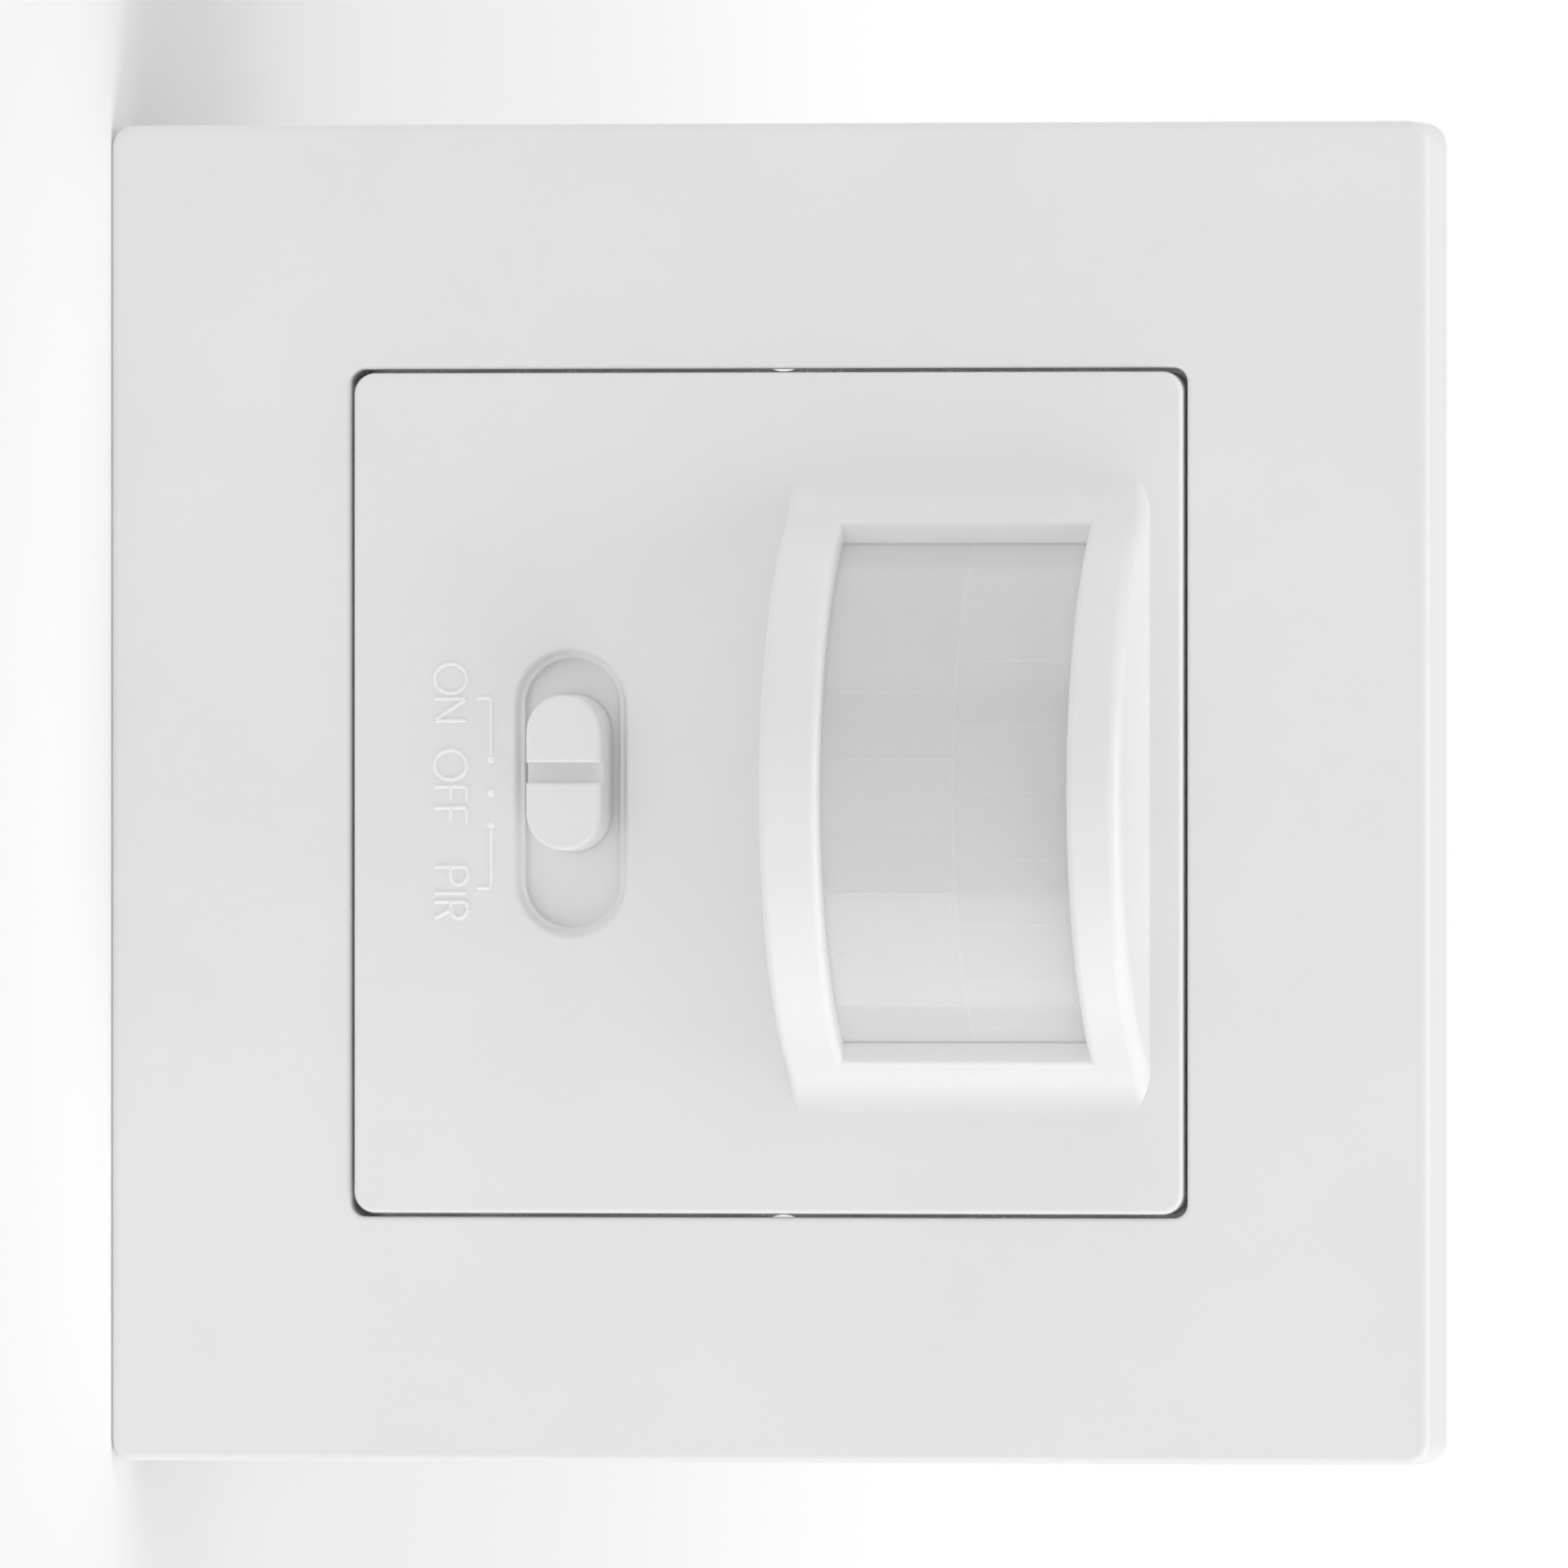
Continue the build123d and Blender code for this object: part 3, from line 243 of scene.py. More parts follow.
def brushed_group() -> bpy.types.NodeTree:
    """Builds the drawn lines and plating bloom of thin metal.

    Returns:
        The node group.
    """
    stretch = (0.06, 1.0, 1.0)
    line_detail, bloom_detail = 4.0, 3.0
    bloom_scale = 14.0
    darkest, lightest = 0.78, 1.22
    rough_share = 0.5

    def fill(graph: Graph, given: bpy.types.Node) -> dict[str, Any]:
        """Builds long scratches, a cloudy bloom and their roughness.

        Args:
            graph: The group's graph.
            given: Its input node.

        Returns:
            The group's outputs by name.
        """
        vector, size = given.outputs["Vector"], given.outputs["Size"]
        stretched = graph.add("ShaderNodeMapping", {"Vector": vector, "Scale": stretch}).outputs[0]
        lines = graph.noise(stretched, size, line_detail)
        bloom = graph.noise(vector, graph.math("MULTIPLY", size, bloom_scale), bloom_detail)
        both = graph.math("ADD", graph.math("MULTIPLY", lines, 0.5), graph.math("MULTIPLY", bloom, 0.5))
        value = graph.spread(both, darkest, lightest)
        colour = graph.add(
            "ShaderNodeHueSaturation", {"Value": value, "Color": given.outputs["Colour"]}
        ).outputs[0]
        spread = graph.math("MULTIPLY", graph.math("SUBTRACT", both, 0.5), rough_share)
        rough = graph.math("ADD", given.outputs["Roughness"], spread)
        return {"Colour": colour, "Roughness": rough, "Height": lines}

    return shader_group(
        "brushed_plating",
        {"Vector": "Vector", "Colour": "Color", "Roughness": "Float", "Size": "Float"},
        {"Colour": "Color", "Roughness": "Float", "Height": "Float"},
        fill,
    )


class Surface:
    """One material under construction: its graph, its coordinates and its plain shader."""

    def __init__(self, name: str, **sockets: float) -> None:
        """Starts a material.

        Args:
            name: The material's name.
            **sockets: Constants of the shader, with spaces in their names as underscores.
        """
        self.material = bpy.data.materials.new(name)
        self.material.use_nodes = True
        self.graph = Graph(self.material.node_tree)
        self.shader = self.material.node_tree.nodes["Principled BSDF"]
        for label, value in sockets.items():
            self.shader.inputs[label.replace("_", " ")].default_value = value
        self.place = self.graph.add("ShaderNodeTexCoord").outputs["Object"]

    def group(self, tree: bpy.types.NodeTree, **inputs: Any) -> bpy.types.Node:
        """Places a shared effect with this material's own values.

        Args:
            tree: The effect's node group.
            **inputs: Its inputs, with spaces in their names as underscores.

        Returns:
            The group's node.
        """
        labels = {key.replace("_", " "): value for key, value in inputs.items()}
        labels["Vector"] = self.place
        return self.graph.add("ShaderNodeGroup", labels, node_tree=tree)

    def feed(self, socket: str, source: bpy.types.NodeSocket) -> None:
        """Links a value that changes over the surface to the shader."""
        self.graph.tree.links.new(source, self.shader.inputs[socket])

    def bump(self, height: bpy.types.NodeSocket, depth: float, strength: float = 1.0) -> None:
        """Raises the surface by a height, depth metres at most."""
        inputs = {"Height": height, "Distance": depth, "Strength": strength}
        self.feed("Normal", self.graph.add("ShaderNodeBump", inputs).outputs[0])


@dataclass(frozen=True)
class Moulded:
    """A moulded plastic, resin or ceramic with a fine grain.

    Attributes:
        name: The material's name.
        colour: Its colour.
        roughness: Its roughness.
        grain: Size of the grain.
        depth: Depth of the grain.
        tone: Slow change of its tone, as a share.
        speck: Change of tone from grain to grain, as a share.
        coat: Weight of a clear gloss on top.
        coat_polish: How many times smoother that gloss is.
    """

    name: str
    colour: Colour
    roughness: float = 0.42
    grain: float = 0.16 * MM
    depth: float = 0.004 * MM
    tone: float = 0.05
    speck: float = 0.02
    coat: float = 0.0
    coat_polish: float = 3.0

    def start(self) -> tuple[Surface, bpy.types.Node]:
        """Builds the plain grained plastic.

        Returns:
            The surface and its grain group.
        """
        clear = self.roughness / self.coat_polish
        surface = Surface(self.name, Coat_Weight=self.coat, Coat_Roughness=clear)
        grain = surface.group(
            grain_group(),
            Colour=rgba(self.colour),
            Roughness=self.roughness,
            Size=self.grain,
            Tone=self.tone,
            Speck=self.speck,
        )
        surface.feed("Base Color", grain.outputs["Colour"])
        surface.feed("Roughness", grain.outputs["Roughness"])
        surface.bump(grain.outputs["Height"], self.depth)
        return surface, grain

    def build(self) -> bpy.types.Material:
        """Gives the finished material."""
        return self.start()[0].material


@dataclass(frozen=True)
class HoodedMoulding(Moulded):
    """The insert's plastic: satin on the flat face and smoother on the hood that stands proud.

    Attributes:
        face: Depth of the flat face.
        hood_start: How proud of the face the smoother finish begins.
        hood_full: How proud of the face it is whole.
        hood_roughness: Roughness on the hood.
        smoothing: Share of the grain that the hood loses.
    """

    face: float = 0.0
    hood_start: float = 0.2 * MM
    hood_full: float = 1.4 * MM
    hood_roughness: float = 0.31
    smoothing: float = 0.75

    def build(self) -> bpy.types.Material:
        """Gives the finished material.

        Returns:
            The material.
        """
        surface, grain = self.start()
        graph = surface.graph
        depth = graph.add("ShaderNodeSeparateXYZ", {0: surface.place}).outputs[1]
        proud = graph.math("SUBTRACT", self.face, depth)
        hood = graph.fade(proud, self.hood_start, self.hood_full)
        change = graph.math("MULTIPLY", hood, self.hood_roughness - self.roughness)
        rough = graph.math("ADD", grain.outputs["Roughness"], change)
        surface.feed("Roughness", rough)
        keep = graph.math("SUBTRACT", 1.0, graph.math("MULTIPLY", hood, self.smoothing))
        surface.bump(graph.math("MULTIPLY", grain.outputs["Height"], keep), self.depth)
        return surface.material


@dataclass(frozen=True)
class Plated:
    """A drawn or stamped metal with its plating.

    Attributes:
        name: The material's name.
        colour: Its colour.
        roughness: Its roughness.
        lines: Width of the drawn lines.
        depth: Depth of the lines.
    """

    name: str
    colour: Colour
    roughness: float = 0.32
    lines: float = 0.12 * MM
    depth: float = 0.002 * MM

    def build(self) -> bpy.types.Material:
        """Gives the finished material.

        Returns:
            The material.
        """
        surface = Surface(self.name, Metallic=1.0)
        brushed = surface.group(
            brushed_group(), Colour=rgba(self.colour), Roughness=self.roughness, Size=self.lines
        )
        surface.feed("Base Color", brushed.outputs["Colour"])
        surface.feed("Roughness", brushed.outputs["Roughness"])
        surface.bump(brushed.outputs["Height"], self.depth)
        return surface.material


@dataclass(frozen=True)
class Banded(Moulded):
    """A moulded part with bands across it, such as turns of wire or a sleeve with a bare end.

    Attributes:
        axis: Which coordinate the bands follow: 0, 1 or 2.
        pitch: Distance from band to band.
        second: Colour between the bands.
        ridge: Height of the bands.
    """

    axis: int = 1
    pitch: float = 0.4 * MM
    second: Colour = (0.2, 0.2, 0.2)
    ridge: float = 0.03 * MM

    def build(self) -> bpy.types.Material:
        """Gives the finished material.

        Returns:
            The material.
        """
        surface, grain = self.start()
        graph = surface.graph
        along = graph.add("ShaderNodeSeparateXYZ", {0: surface.place}).outputs[self.axis]
        turns = graph.math("MULTIPLY", along, 2 * pi / self.pitch)
        wave = graph.math("MULTIPLY_ADD", graph.math("SINE", turns), 0.5, 0.5)
        colour = graph.mix(wave, rgba(self.second), grain.outputs["Colour"])
        surface.feed("Base Color", colour)
        surface.bump(wave, self.ridge)
        return surface.material


@dataclass(frozen=True)
class Laminate:
    """A circuit board: green mask over glass weave, with paler tracks under it.

    Attributes:
        name: The material's name.
        mask: Colour of the solder mask.
        track: Colour over the copper.
        roughness: Roughness of the mask.
        coat: Weight of the clear gloss on top.
        coat_roughness: Roughness of that gloss.
        pitch: Grid on which the tracks run.
        track_edge: Share of the pitch at which a track begins, and is whole.
        weave: Size of the glass weave.
        waver: How much the weave's threads waver.
        lift: How much lighter the mask is over a thread.
        weave_share: Height of a thread, as a share of a track's.
        depth: Height of a track.
    """

    name: str
    mask: Colour
    track: Colour
    roughness: float = 0.34
    coat: float = 0.4
    coat_roughness: float = 0.12
    pitch: float = 2.54 * MM
    track_edge: Point = (0.10, 0.13)
    weave: float = 0.45 * MM
    waver: float = 1.2
    lift: float = 1.25
    weave_share: float = 0.15
    depth: float = 0.035 * MM

    def build(self) -> bpy.types.Material:
        """Gives the finished material.

        Returns:
            The material.
        """
        surface = Surface(
            self.name,
            Roughness=self.roughness,
            Coat_Weight=self.coat,
            Coat_Roughness=self.coat_roughness,
        )
        graph = surface.graph
        cells = graph.add(
            "ShaderNodeTexVoronoi",
            {"Vector": surface.place, "Scale": 1 / self.pitch},
            distance="CHEBYCHEV",
            feature="DISTANCE_TO_EDGE",
        ).outputs["Distance"]
        copper = graph.fade(cells, *self.track_edge)
        weave = graph.add(
            "ShaderNodeTexWave",
            {"Vector": surface.place, "Scale": 1 / (self.weave * 2 * pi), "Distortion": self.waver},
            bands_direction="DIAGONAL",
        ).outputs["Fac"]
        lighter = tuple(channel * self.lift for channel in self.mask)
        ground = graph.mix(weave, rgba(self.mask), rgba(lighter))
        surface.feed("Base Color", graph.mix(copper, ground, rgba(self.track)))
        threads = graph.math("MULTIPLY", weave, self.weave_share)
        surface.bump(graph.math("ADD", copper, threads), self.depth)
        return surface.material


@dataclass
class LensShape:
    """The lens: a thin milky sheet curved about an upright axis, with two rows of cells.

    Attributes:
        low_seat: Width of the rim that the hood covers, on the lower side.
        high_seat: Width of that rim on the upper side.
        end_seat: Width of that rim at each end, along the curve.
        seat_height: How far that rim stands proud, up to the hood.
        margin: Plain stretch between that rim and the cells.
        cell_angle: Angle that one cell takes.
        seam_offset: How far the seam between the rows lies above the middle.
        ridge_width: Half the width of the ridges between cells.
        ridge_height: How far the ridges stand proud.
        ring_pitch: Distance between the rings moulded in each cell.
        supports: Places of the grid's lines at a ridge, in half widths of it.
        step_angle: Angle between the grid's other lines.
        rise_share: Width of the step up to the rim at each end, as a share of a grid step.
        wall: Thickness of the sheet.
    """

    low_seat: float = 2.42 * MM
    high_seat: float = 2.12 * MM
    end_seat: float = 2.58 * MM
    seat_height: float = 0.085 * MM
    margin: float = 1.1 * MM
    cell_angle: float = radians(13.0)
    seam_offset: float = 0.5 * MM
    ridge_width: float = 0.09 * MM
    ridge_height: float = 0.018 * MM
    ring_pitch: float = 0.27 * MM
    supports: tuple[float, ...] = (-1.4, -1, 0, 1, 1.4)
    step_angle: float = radians(1.0)
    rise_share: float = 0.05
    wall: float = 0.6 * MM
    low: Vector = field(init=False)
    high: Vector = field(init=False)
    half_angle: float = field(init=False)
    radius: float = field(init=False)
    axis_y: float = field(init=False)

    def __post_init__(self) -> None:
        """Works the curve out from the room that the lens's node takes."""
        self.low, self.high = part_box("fresnel_lens")
        half, depth = self.high.x, self.high.y - self.low.y
        self.radius = (depth**2 + half**2 - self.wall**2) / (2 * (depth - self.wall))
        self.axis_y = self.low.y + self.radius
        self.half_angle = asin(half / self.radius)

    @property
    def seam(self) -> float:
        """Height of the seam between the two rows."""
        return (self.low_edge + self.high_edge) / 2 + self.seam_offset

    @property
    def low_edge(self) -> float:
        """Height at which the lower covered rim ends."""
        return self.low.z + self.low_seat

    @property
    def high_edge(self) -> float:
        """Height at which the upper covered rim begins."""
        return self.high.z - self.high_seat

    @property
    def open_angle(self) -> float:
        """Half the angle that isn't covered by the hood."""
        return self.half_angle - self.end_seat / self.radius

    def borders(self, row: Row) -> list[float]:
        """Gives the angles of the ridges between the cells of one row."""
        count = floor(self.open_angle / self.cell_angle)
        return [(k + row.value) * self.cell_angle for k in range(-count, count)]

    def relief(self, angle: float, z: float) -> float:
        """Gives how far the sheet stands proud at one place.

        Args:
            angle: Angle about the lens's axis.
            z: Height.

        Returns:
            The height of the rim or ridge there, or 0.
        """
        if abs(angle) > self.open_angle or not self.low_edge < z < self.high_edge:
            return self.seat_height
        if not self.low_edge + self.margin <= z <= self.high_edge - self.margin:
            return 0.0
        row = Row.UPPER if z >= self.seam else Row.LOWER
        nearest = min(abs(angle - border) * self.radius for border in self.borders(row))
        nearest = min(nearest, abs(z - self.seam))
        return self.ridge_height * max(0.0, 1 - nearest / self.ridge_width)

    def angles(self) -> list[float]:
        """Gives the angles of the grid: even steps, the rims and the ridges.

        Returns:
            The angles about the lens's axis, in order.
        """
        count = ceil(2 * self.half_angle / self.step_angle)
        step = 2 * self.half_angle / count
        lines = {round(i * step - self.half_angle, 6) for i in range(count + 1)}
        edge = self.open_angle
        rims = (edge, edge + step * self.rise_share)
        lines |= {round(side * turn, 6) for side in (-1, 1) for turn in rims}
        reach = self.ridge_width / self.radius
        for row in Row:
            for border in self.borders(row):
                lines |= {round(border + side * reach, 6) for side in self.supports}
        return sorted(lines)

    def heights(self) -> list[float]:
        """Gives the heights of the grid: the rims, the rows and the seam.

        Returns:
            The heights, in order.
        """
        fine = self.ridge_width / 3
        low, high = self.low_edge + self.margin, self.high_edge - self.margin
        rims = [self.low.z, self.low_edge, self.low_edge + fine, self.high_edge - fine]
        rims += [self.high_edge, self.high.z, low - fine, low, low + fine]
        rims += [high - fine, high, high + fine]
        return sorted(rims + [self.seam + side * self.ridge_width for side in self.supports])

    def mesh(self) -> bpy.types.Mesh:
        """Builds the closed sheet.

        Returns:
            A mesh with a ridged outer face and a smooth inner one.
        """
        shape = bmesh.new()
        angles, heights = self.angles(), self.heights()
        outer, inner = [], []
        for angle in angles:
            for face, proud in ((outer, 1.0), (inner, 0.0)):
                line = []
                for z in heights:
                    reach = self.radius + proud * self.relief(angle, z) - (1 - proud) * self.wall
                    x, y = reach * sin(angle), self.axis_y - reach * cos(angle)
                    line.append(shape.verts.new((x, y, z)))
                face.append(line)
        last_a, last_h = len(angles) - 1, len(heights) - 1
        for i in range(last_a):
            for j in range(last_h):
                shape.faces.new((outer[i][j], outer[i + 1][j], outer[i + 1][j + 1], outer[i][j + 1]))
                shape.faces.new((inner[i][j], inner[i][j + 1], inner[i + 1][j + 1], inner[i + 1][j]))
            for j, flip in ((0, False), (last_h, True)):
                ring = [outer[i][j], inner[i][j], inner[i + 1][j], outer[i + 1][j]]
                shape.faces.new(ring[::-1] if flip else ring)
        for j in range(last_h):
            for i, flip in ((0, False), (last_a, True)):
                ring = [outer[i][j], outer[i][j + 1], inner[i][j + 1], inner[i][j]]
                shape.faces.new(ring[::-1] if flip else ring)
        bmesh.ops.recalc_face_normals(shape, faces=shape.faces)
        return finished_mesh(shape, "lens_sheet")


def lens_group() -> bpy.types.NodeTree:
    """Builds the cells of the lens: each gets its own painted shade, painted highlight lines at its
    borders and the seam, and rings that are raised by a bump and also painted with shading.

    Returns:
        The node group.
    """
    row_step = 40.0
    shift_share = 0.8
    centre_distance = 10.0 * MM
    border_start, border_full = 0.472, 0.497
    seam_start, seam_full = 0.14 * MM, 0.03 * MM
    cell_shade_tone, line_highlight_tone, ring_shade_tone = 0.025, 0.035, 0.028

    def fill(graph: Graph, given: bpy.types.Node) -> dict[str, Any]:
        """Builds the cells from the angle about the axis and the height.

        Args:
            graph: The group's graph.
            given: Its input node.

        Returns:
            The group's outputs by name.
        """
        cell, seam_z = given.outputs["Cell Angle"], given.outputs["Seam"]
        x, y, z = graph.add("ShaderNodeSeparateXYZ", {0: given.outputs["Vector"]}).outputs
        across = graph.math("ARCTAN2", x, graph.math("SUBTRACT", given.outputs["Axis"], y))
        upper = graph.math("GREATER_THAN", z, seam_z)
        stagger = graph.math("MULTIPLY", graph.math("SUBTRACT", 1.0, upper), Row.LOWER.value)
        count = graph.math("ADD", graph.math("DIVIDE", across, cell), stagger)
        index = graph.math("FLOOR", count)
        middle = graph.math("SUBTRACT", graph.math("SUBTRACT", count, index), 0.5)
        number = graph.math("MULTIPLY_ADD", upper, row_step, index)
        random = graph.add("ShaderNodeTexWhiteNoise", {"W": number}, noise_dimensions="1D")
        chance = graph.math("SUBTRACT", random.outputs["Value"], 0.5)
        arc = graph.math("MULTIPLY", cell, given.outputs["Radius"])
        shift = graph.math("MULTIPLY", chance, shift_share)
        du = graph.math("MULTIPLY", graph.math("ADD", middle, shift), arc)
        side = graph.math("SUBTRACT", upper, 0.5)
        dz = graph.math("SUBTRACT", z, graph.math("MULTIPLY_ADD", side, centre_distance, seam_z))
        squared = graph.math("ADD", graph.math("MULTIPLY", du, du), graph.math("MULTIPLY", dz, dz))
        turns = graph.math("DIVIDE", graph.math("SQRT", squared), given.outputs["Ring Pitch"])
        wave = graph.math("SINE", graph.math("MULTIPLY", turns, 2 * pi))
        rings = graph.math("MULTIPLY_ADD", wave, 0.5, 0.5)
        border = graph.fade(graph.math("ABSOLUTE", middle), border_start, border_full)
        off_seam = graph.math("ABSOLUTE", graph.math("SUBTRACT", z, seam_z))
        line = graph.math("MAXIMUM", border, graph.fade(off_seam, seam_start, seam_full))
        # Painted light: each cell a little lighter or darker at random as painted shading of its facet,
        # painted highlight lines along the borders and the seam, and painted shading that follows the
        # rings.
        tone = graph.math("MULTIPLY", chance, cell_shade_tone)
        tone = graph.math("ADD", tone, graph.math("MULTIPLY", line, line_highlight_tone))
        tone = graph.math("ADD", tone, graph.math("MULTIPLY", rings, ring_shade_tone))
        return {"Tone": graph.math("ADD", 1.0, tone), "Height": rings}

    return shader_group(
        "lens_cells",
        {"Vector": "Vector", "Axis": "Float", "Seam": "Float", "Cell Angle": "Float",
         "Radius": "Float", "Ring Pitch": "Float"},
        {"Tone": "Float", "Height": "Float"},
        fill,
    )


@dataclass(frozen=True)
class MilkySheet:
    """The lens's plastic: milky and smooth, with fine rings in each cell and painted shade and highlights
    on its cells.

    Attributes:
        name: The material's name.
        colour: Its colour.
        roughness: Its roughness.
        haze_size: Size of the clouds in its tone.
        haze: Darkest and lightest tone of the clouds, as shares.
        ring_depth: Depth of the rings.
    """

    name: str
    colour: Colour
    roughness: float = 0.14
    haze_size: float = 5 * MM
    haze: Point = (0.985, 1.015)
    ring_depth: float = 0.003 * MM

    def build(self, shape: LensShape) -> bpy.types.Material:
        """Gives the finished material.

        Args:
            shape: The lens whose cells it follows.

        Returns:
            The material.
        """
        surface = Surface(self.name, Roughness=self.roughness)
        cells = surface.group(
            lens_group(),
            Axis=shape.axis_y,
            Seam=shape.seam,
            Cell_Angle=shape.cell_angle,
            Radius=shape.radius,
            Ring_Pitch=shape.ring_pitch,
        )
        graph = surface.graph
        haze = graph.spread(graph.noise(surface.place, self.haze_size), *self.haze)
        # The cells' tone is painted shade and highlight; the haze is the sheet's own cloudy tone.
        value = graph.math("MULTIPLY", cells.outputs["Tone"], haze)
        colour = graph.add("ShaderNodeHueSaturation", {"Value": value, "Color": rgba(self.colour)})
        surface.feed("Base Color", colour.outputs[0])
        surface.bump(cells.outputs["Height"], self.ring_depth)
        return surface.material


def finished_mesh(shape: bmesh.types.BMesh, name: str, smooth: float = radians(35)) -> bpy.types.Mesh:
    """Turns a bmesh into a smooth-shaded mesh with sharp edges kept.

    Args:
        shape: The geometry, freed afterwards.
        name: The mesh's name.
        smooth: Angle above which an edge stays sharp.

    Returns:
        The mesh.
    """
    for face in shape.faces:
        face.smooth = True
    mesh = bpy.data.meshes.new(name)
    shape.to_mesh(mesh)
    shape.free()
    mesh.set_sharp_from_angle(angle=smooth)
    return mesh


def add_piece(
    name: str, mesh: bpy.types.Mesh, material: bpy.types.Material, body: str
) -> bpy.types.Object:
    """Links a finished mesh as a piece of the switch.

    Args:
        name: The piece's name.
        mesh: Its mesh, in place.
        material: Its finish.
        body: The body that it rides on.

    Returns:
        The object.
    """
    piece = bpy.data.objects.new(name, mesh)
    mesh.materials.clear()
    mesh.materials.append(material)
    bpy.context.scene.collection.objects.link(piece)
    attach(piece, body)
    log.info("piece %s on %s: %d faces", name, body, len(mesh.polygons))
    return piece


def paint(finish: Moulded | Plated | Laminate, *nodes: str) -> bpy.types.Material:
    """Gives nodes of the frame their finish.

    Args:
        finish: The finish to build.
        *nodes: Names of the nodes.

    Returns:
        The material.
    """
    material = finish.build()
    for node in nodes:
        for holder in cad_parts[node].material_slots:
            holder.material = material
        log.info("node %s finished as %s", node, finish.name)
    return material


def bend(x: float, z: float, width: float, height: float, start: float, end: float) -> Stroke:
    """Gives points on a part of an ellipse.

    Args:
        x: Middle across.
        z: Middle height.
        width: Whole width of the ellipse.
        height: Whole height of the ellipse.
        start: First angle in degrees, from the right and up.
        end: Last angle in degrees.

    Returns:
        The points, about one every 15 degrees.
    """
    step = 15
    count = max(2, ceil(abs(end - start) / step))
    turns = [radians(start + (end - start) * i / count) for i in range(count + 1)]
    return [(x + width / 2 * cos(turn), z + height / 2 * sin(turn)) for turn in turns]


def letter(symbol: str, width: float, height: float) -> list[Stroke]:
    """Draws one plain letter or digit in thin strokes.

    Args:
        symbol: The letter or digit.
        width: Its width.
        height: Its height.

    Returns:
        Its strokes, from its lower left corner.
    """
    w, h = width, height
    upper = 0.75 * h
    arm = 0.85 * w
    bowl = [(0, h), (w / 2, h)] + bend(w / 2, upper, w, h / 2, 90, -90) + [(0, h / 2)]
    drawings = {
        "O": [bend(w / 2, h / 2, w, h, 0, 360)],
        "N": [[(0, 0), (0, h)], [(0, h), (w, 0)], [(w, 0), (w, h)]],
        "F": [[(0, 0), (0, h)], [(0, h), (w, h)], [(0, h / 2), (arm, h / 2)]],
        "P": [[(0, 0), (0, h)], bowl],
        "I": [[(0, 0), (0, h)]],
        "R": [[(0, 0), (0, h)], bowl, [(w / 2, h / 2), (w, 0)]],
        "1": [[(0, upper), (w / 2, h)], [(w / 2, h), (w / 2, 0)]],
        "2": [bend(w / 2, upper, w, h / 2, 170, -35) + [(0, 0)], [(0, 0), (w, 0)]],
        "3": [bend(w / 2, upper, w, h / 2, 150, -90), bend(w / 2, h / 4, w, h / 2, 90, -150)],
    }
    return drawings[symbol]


def moved(strokes: Iterable[Stroke], x: float, z: float) -> list[Stroke]:
    """Moves strokes across by x and up by z."""
    return [[(px + x, pz + z) for px, pz in stroke] for stroke in strokes]


def geometry_tree(name: str, inputs: dict[str, str]) -> tuple[Graph, bpy.types.Node]:
    """Starts a geometry tree with named inputs.

    Args:
        name: The tree's name.
        inputs: Kinds of its input sockets by name, after the geometry.

    Returns:
        The graph and its input node.
    """
    tree = bpy.data.node_groups.new(name, "GeometryNodeTree")
    tree.interface.new_socket("Geometry", in_out="INPUT", socket_type="NodeSocketGeometry")
    for label, kind in inputs.items():
        tree.interface.new_socket(label, in_out="INPUT", socket_type=f"NodeSocket{kind}")
    tree.interface.new_socket("Geometry", in_out="OUTPUT", socket_type="NodeSocketGeometry")
    graph = Graph(tree)
    return graph, graph.add("NodeGroupInput")


def close_tree(graph: Graph, given: bpy.types.Node, geometry: bpy.types.NodeSocket) -> None:
    """Ends a geometry tree: real copies, smooth shading and their material.

    Args:
        graph: The tree's graph.
        given: Its input node.
        geometry: What the tree made.
    """
    real = graph.add("GeometryNodeRealizeInstances", {0: geometry}).outputs[0]
    smooth = graph.add("GeometryNodeSetShadeSmooth", {"Geometry": real}).outputs[0]
    dressed = graph.add(
        "GeometryNodeSetMaterial", {"Geometry": smooth, "Material": given.outputs["Material"]}
    ).outputs[0]
    graph.add("NodeGroupOutput", {0: dressed})


def stroke_tree() -> bpy.types.NodeTree:
    """Sweeps a flattened round bead along drawn strokes.

    Returns:
        The geometry tree.
    """
    bead_sides = 10
    if "raised_strokes" in bpy.data.node_groups:
        return bpy.data.node_groups["raised_strokes"]
    graph, given = geometry_tree(
        "raised_strokes", {"Width": "Float", "Height": "Float", "Material": "Material"}
    )
    radius = graph.math("MULTIPLY", given.outputs["Width"], 0.5)
    lines = graph.add("GeometryNodeMeshToCurve", {"Mesh": given.outputs[0]}).outputs[0]
    ring = graph.add("GeometryNodeCurvePrimitiveCircle", {"Resolution": bead_sides, "Radius": radius})
    bead = graph.add(
        "GeometryNodeCurveToMesh",
        {"Curve": lines, "Profile Curve": ring.outputs[0], "Fill Caps": True},
    ).outputs[0]
    flat = graph.math("DIVIDE", given.outputs["Height"], radius)
    scale = graph.add("ShaderNodeCombineXYZ", {0: 1.0, 1: 1.0, 2: flat}).outputs[0]
    pressed = graph.add("GeometryNodeTransform", {"Geometry": bead, "Scale": scale}).outputs[0]
    close_tree(graph, given, pressed)
    return graph.tree


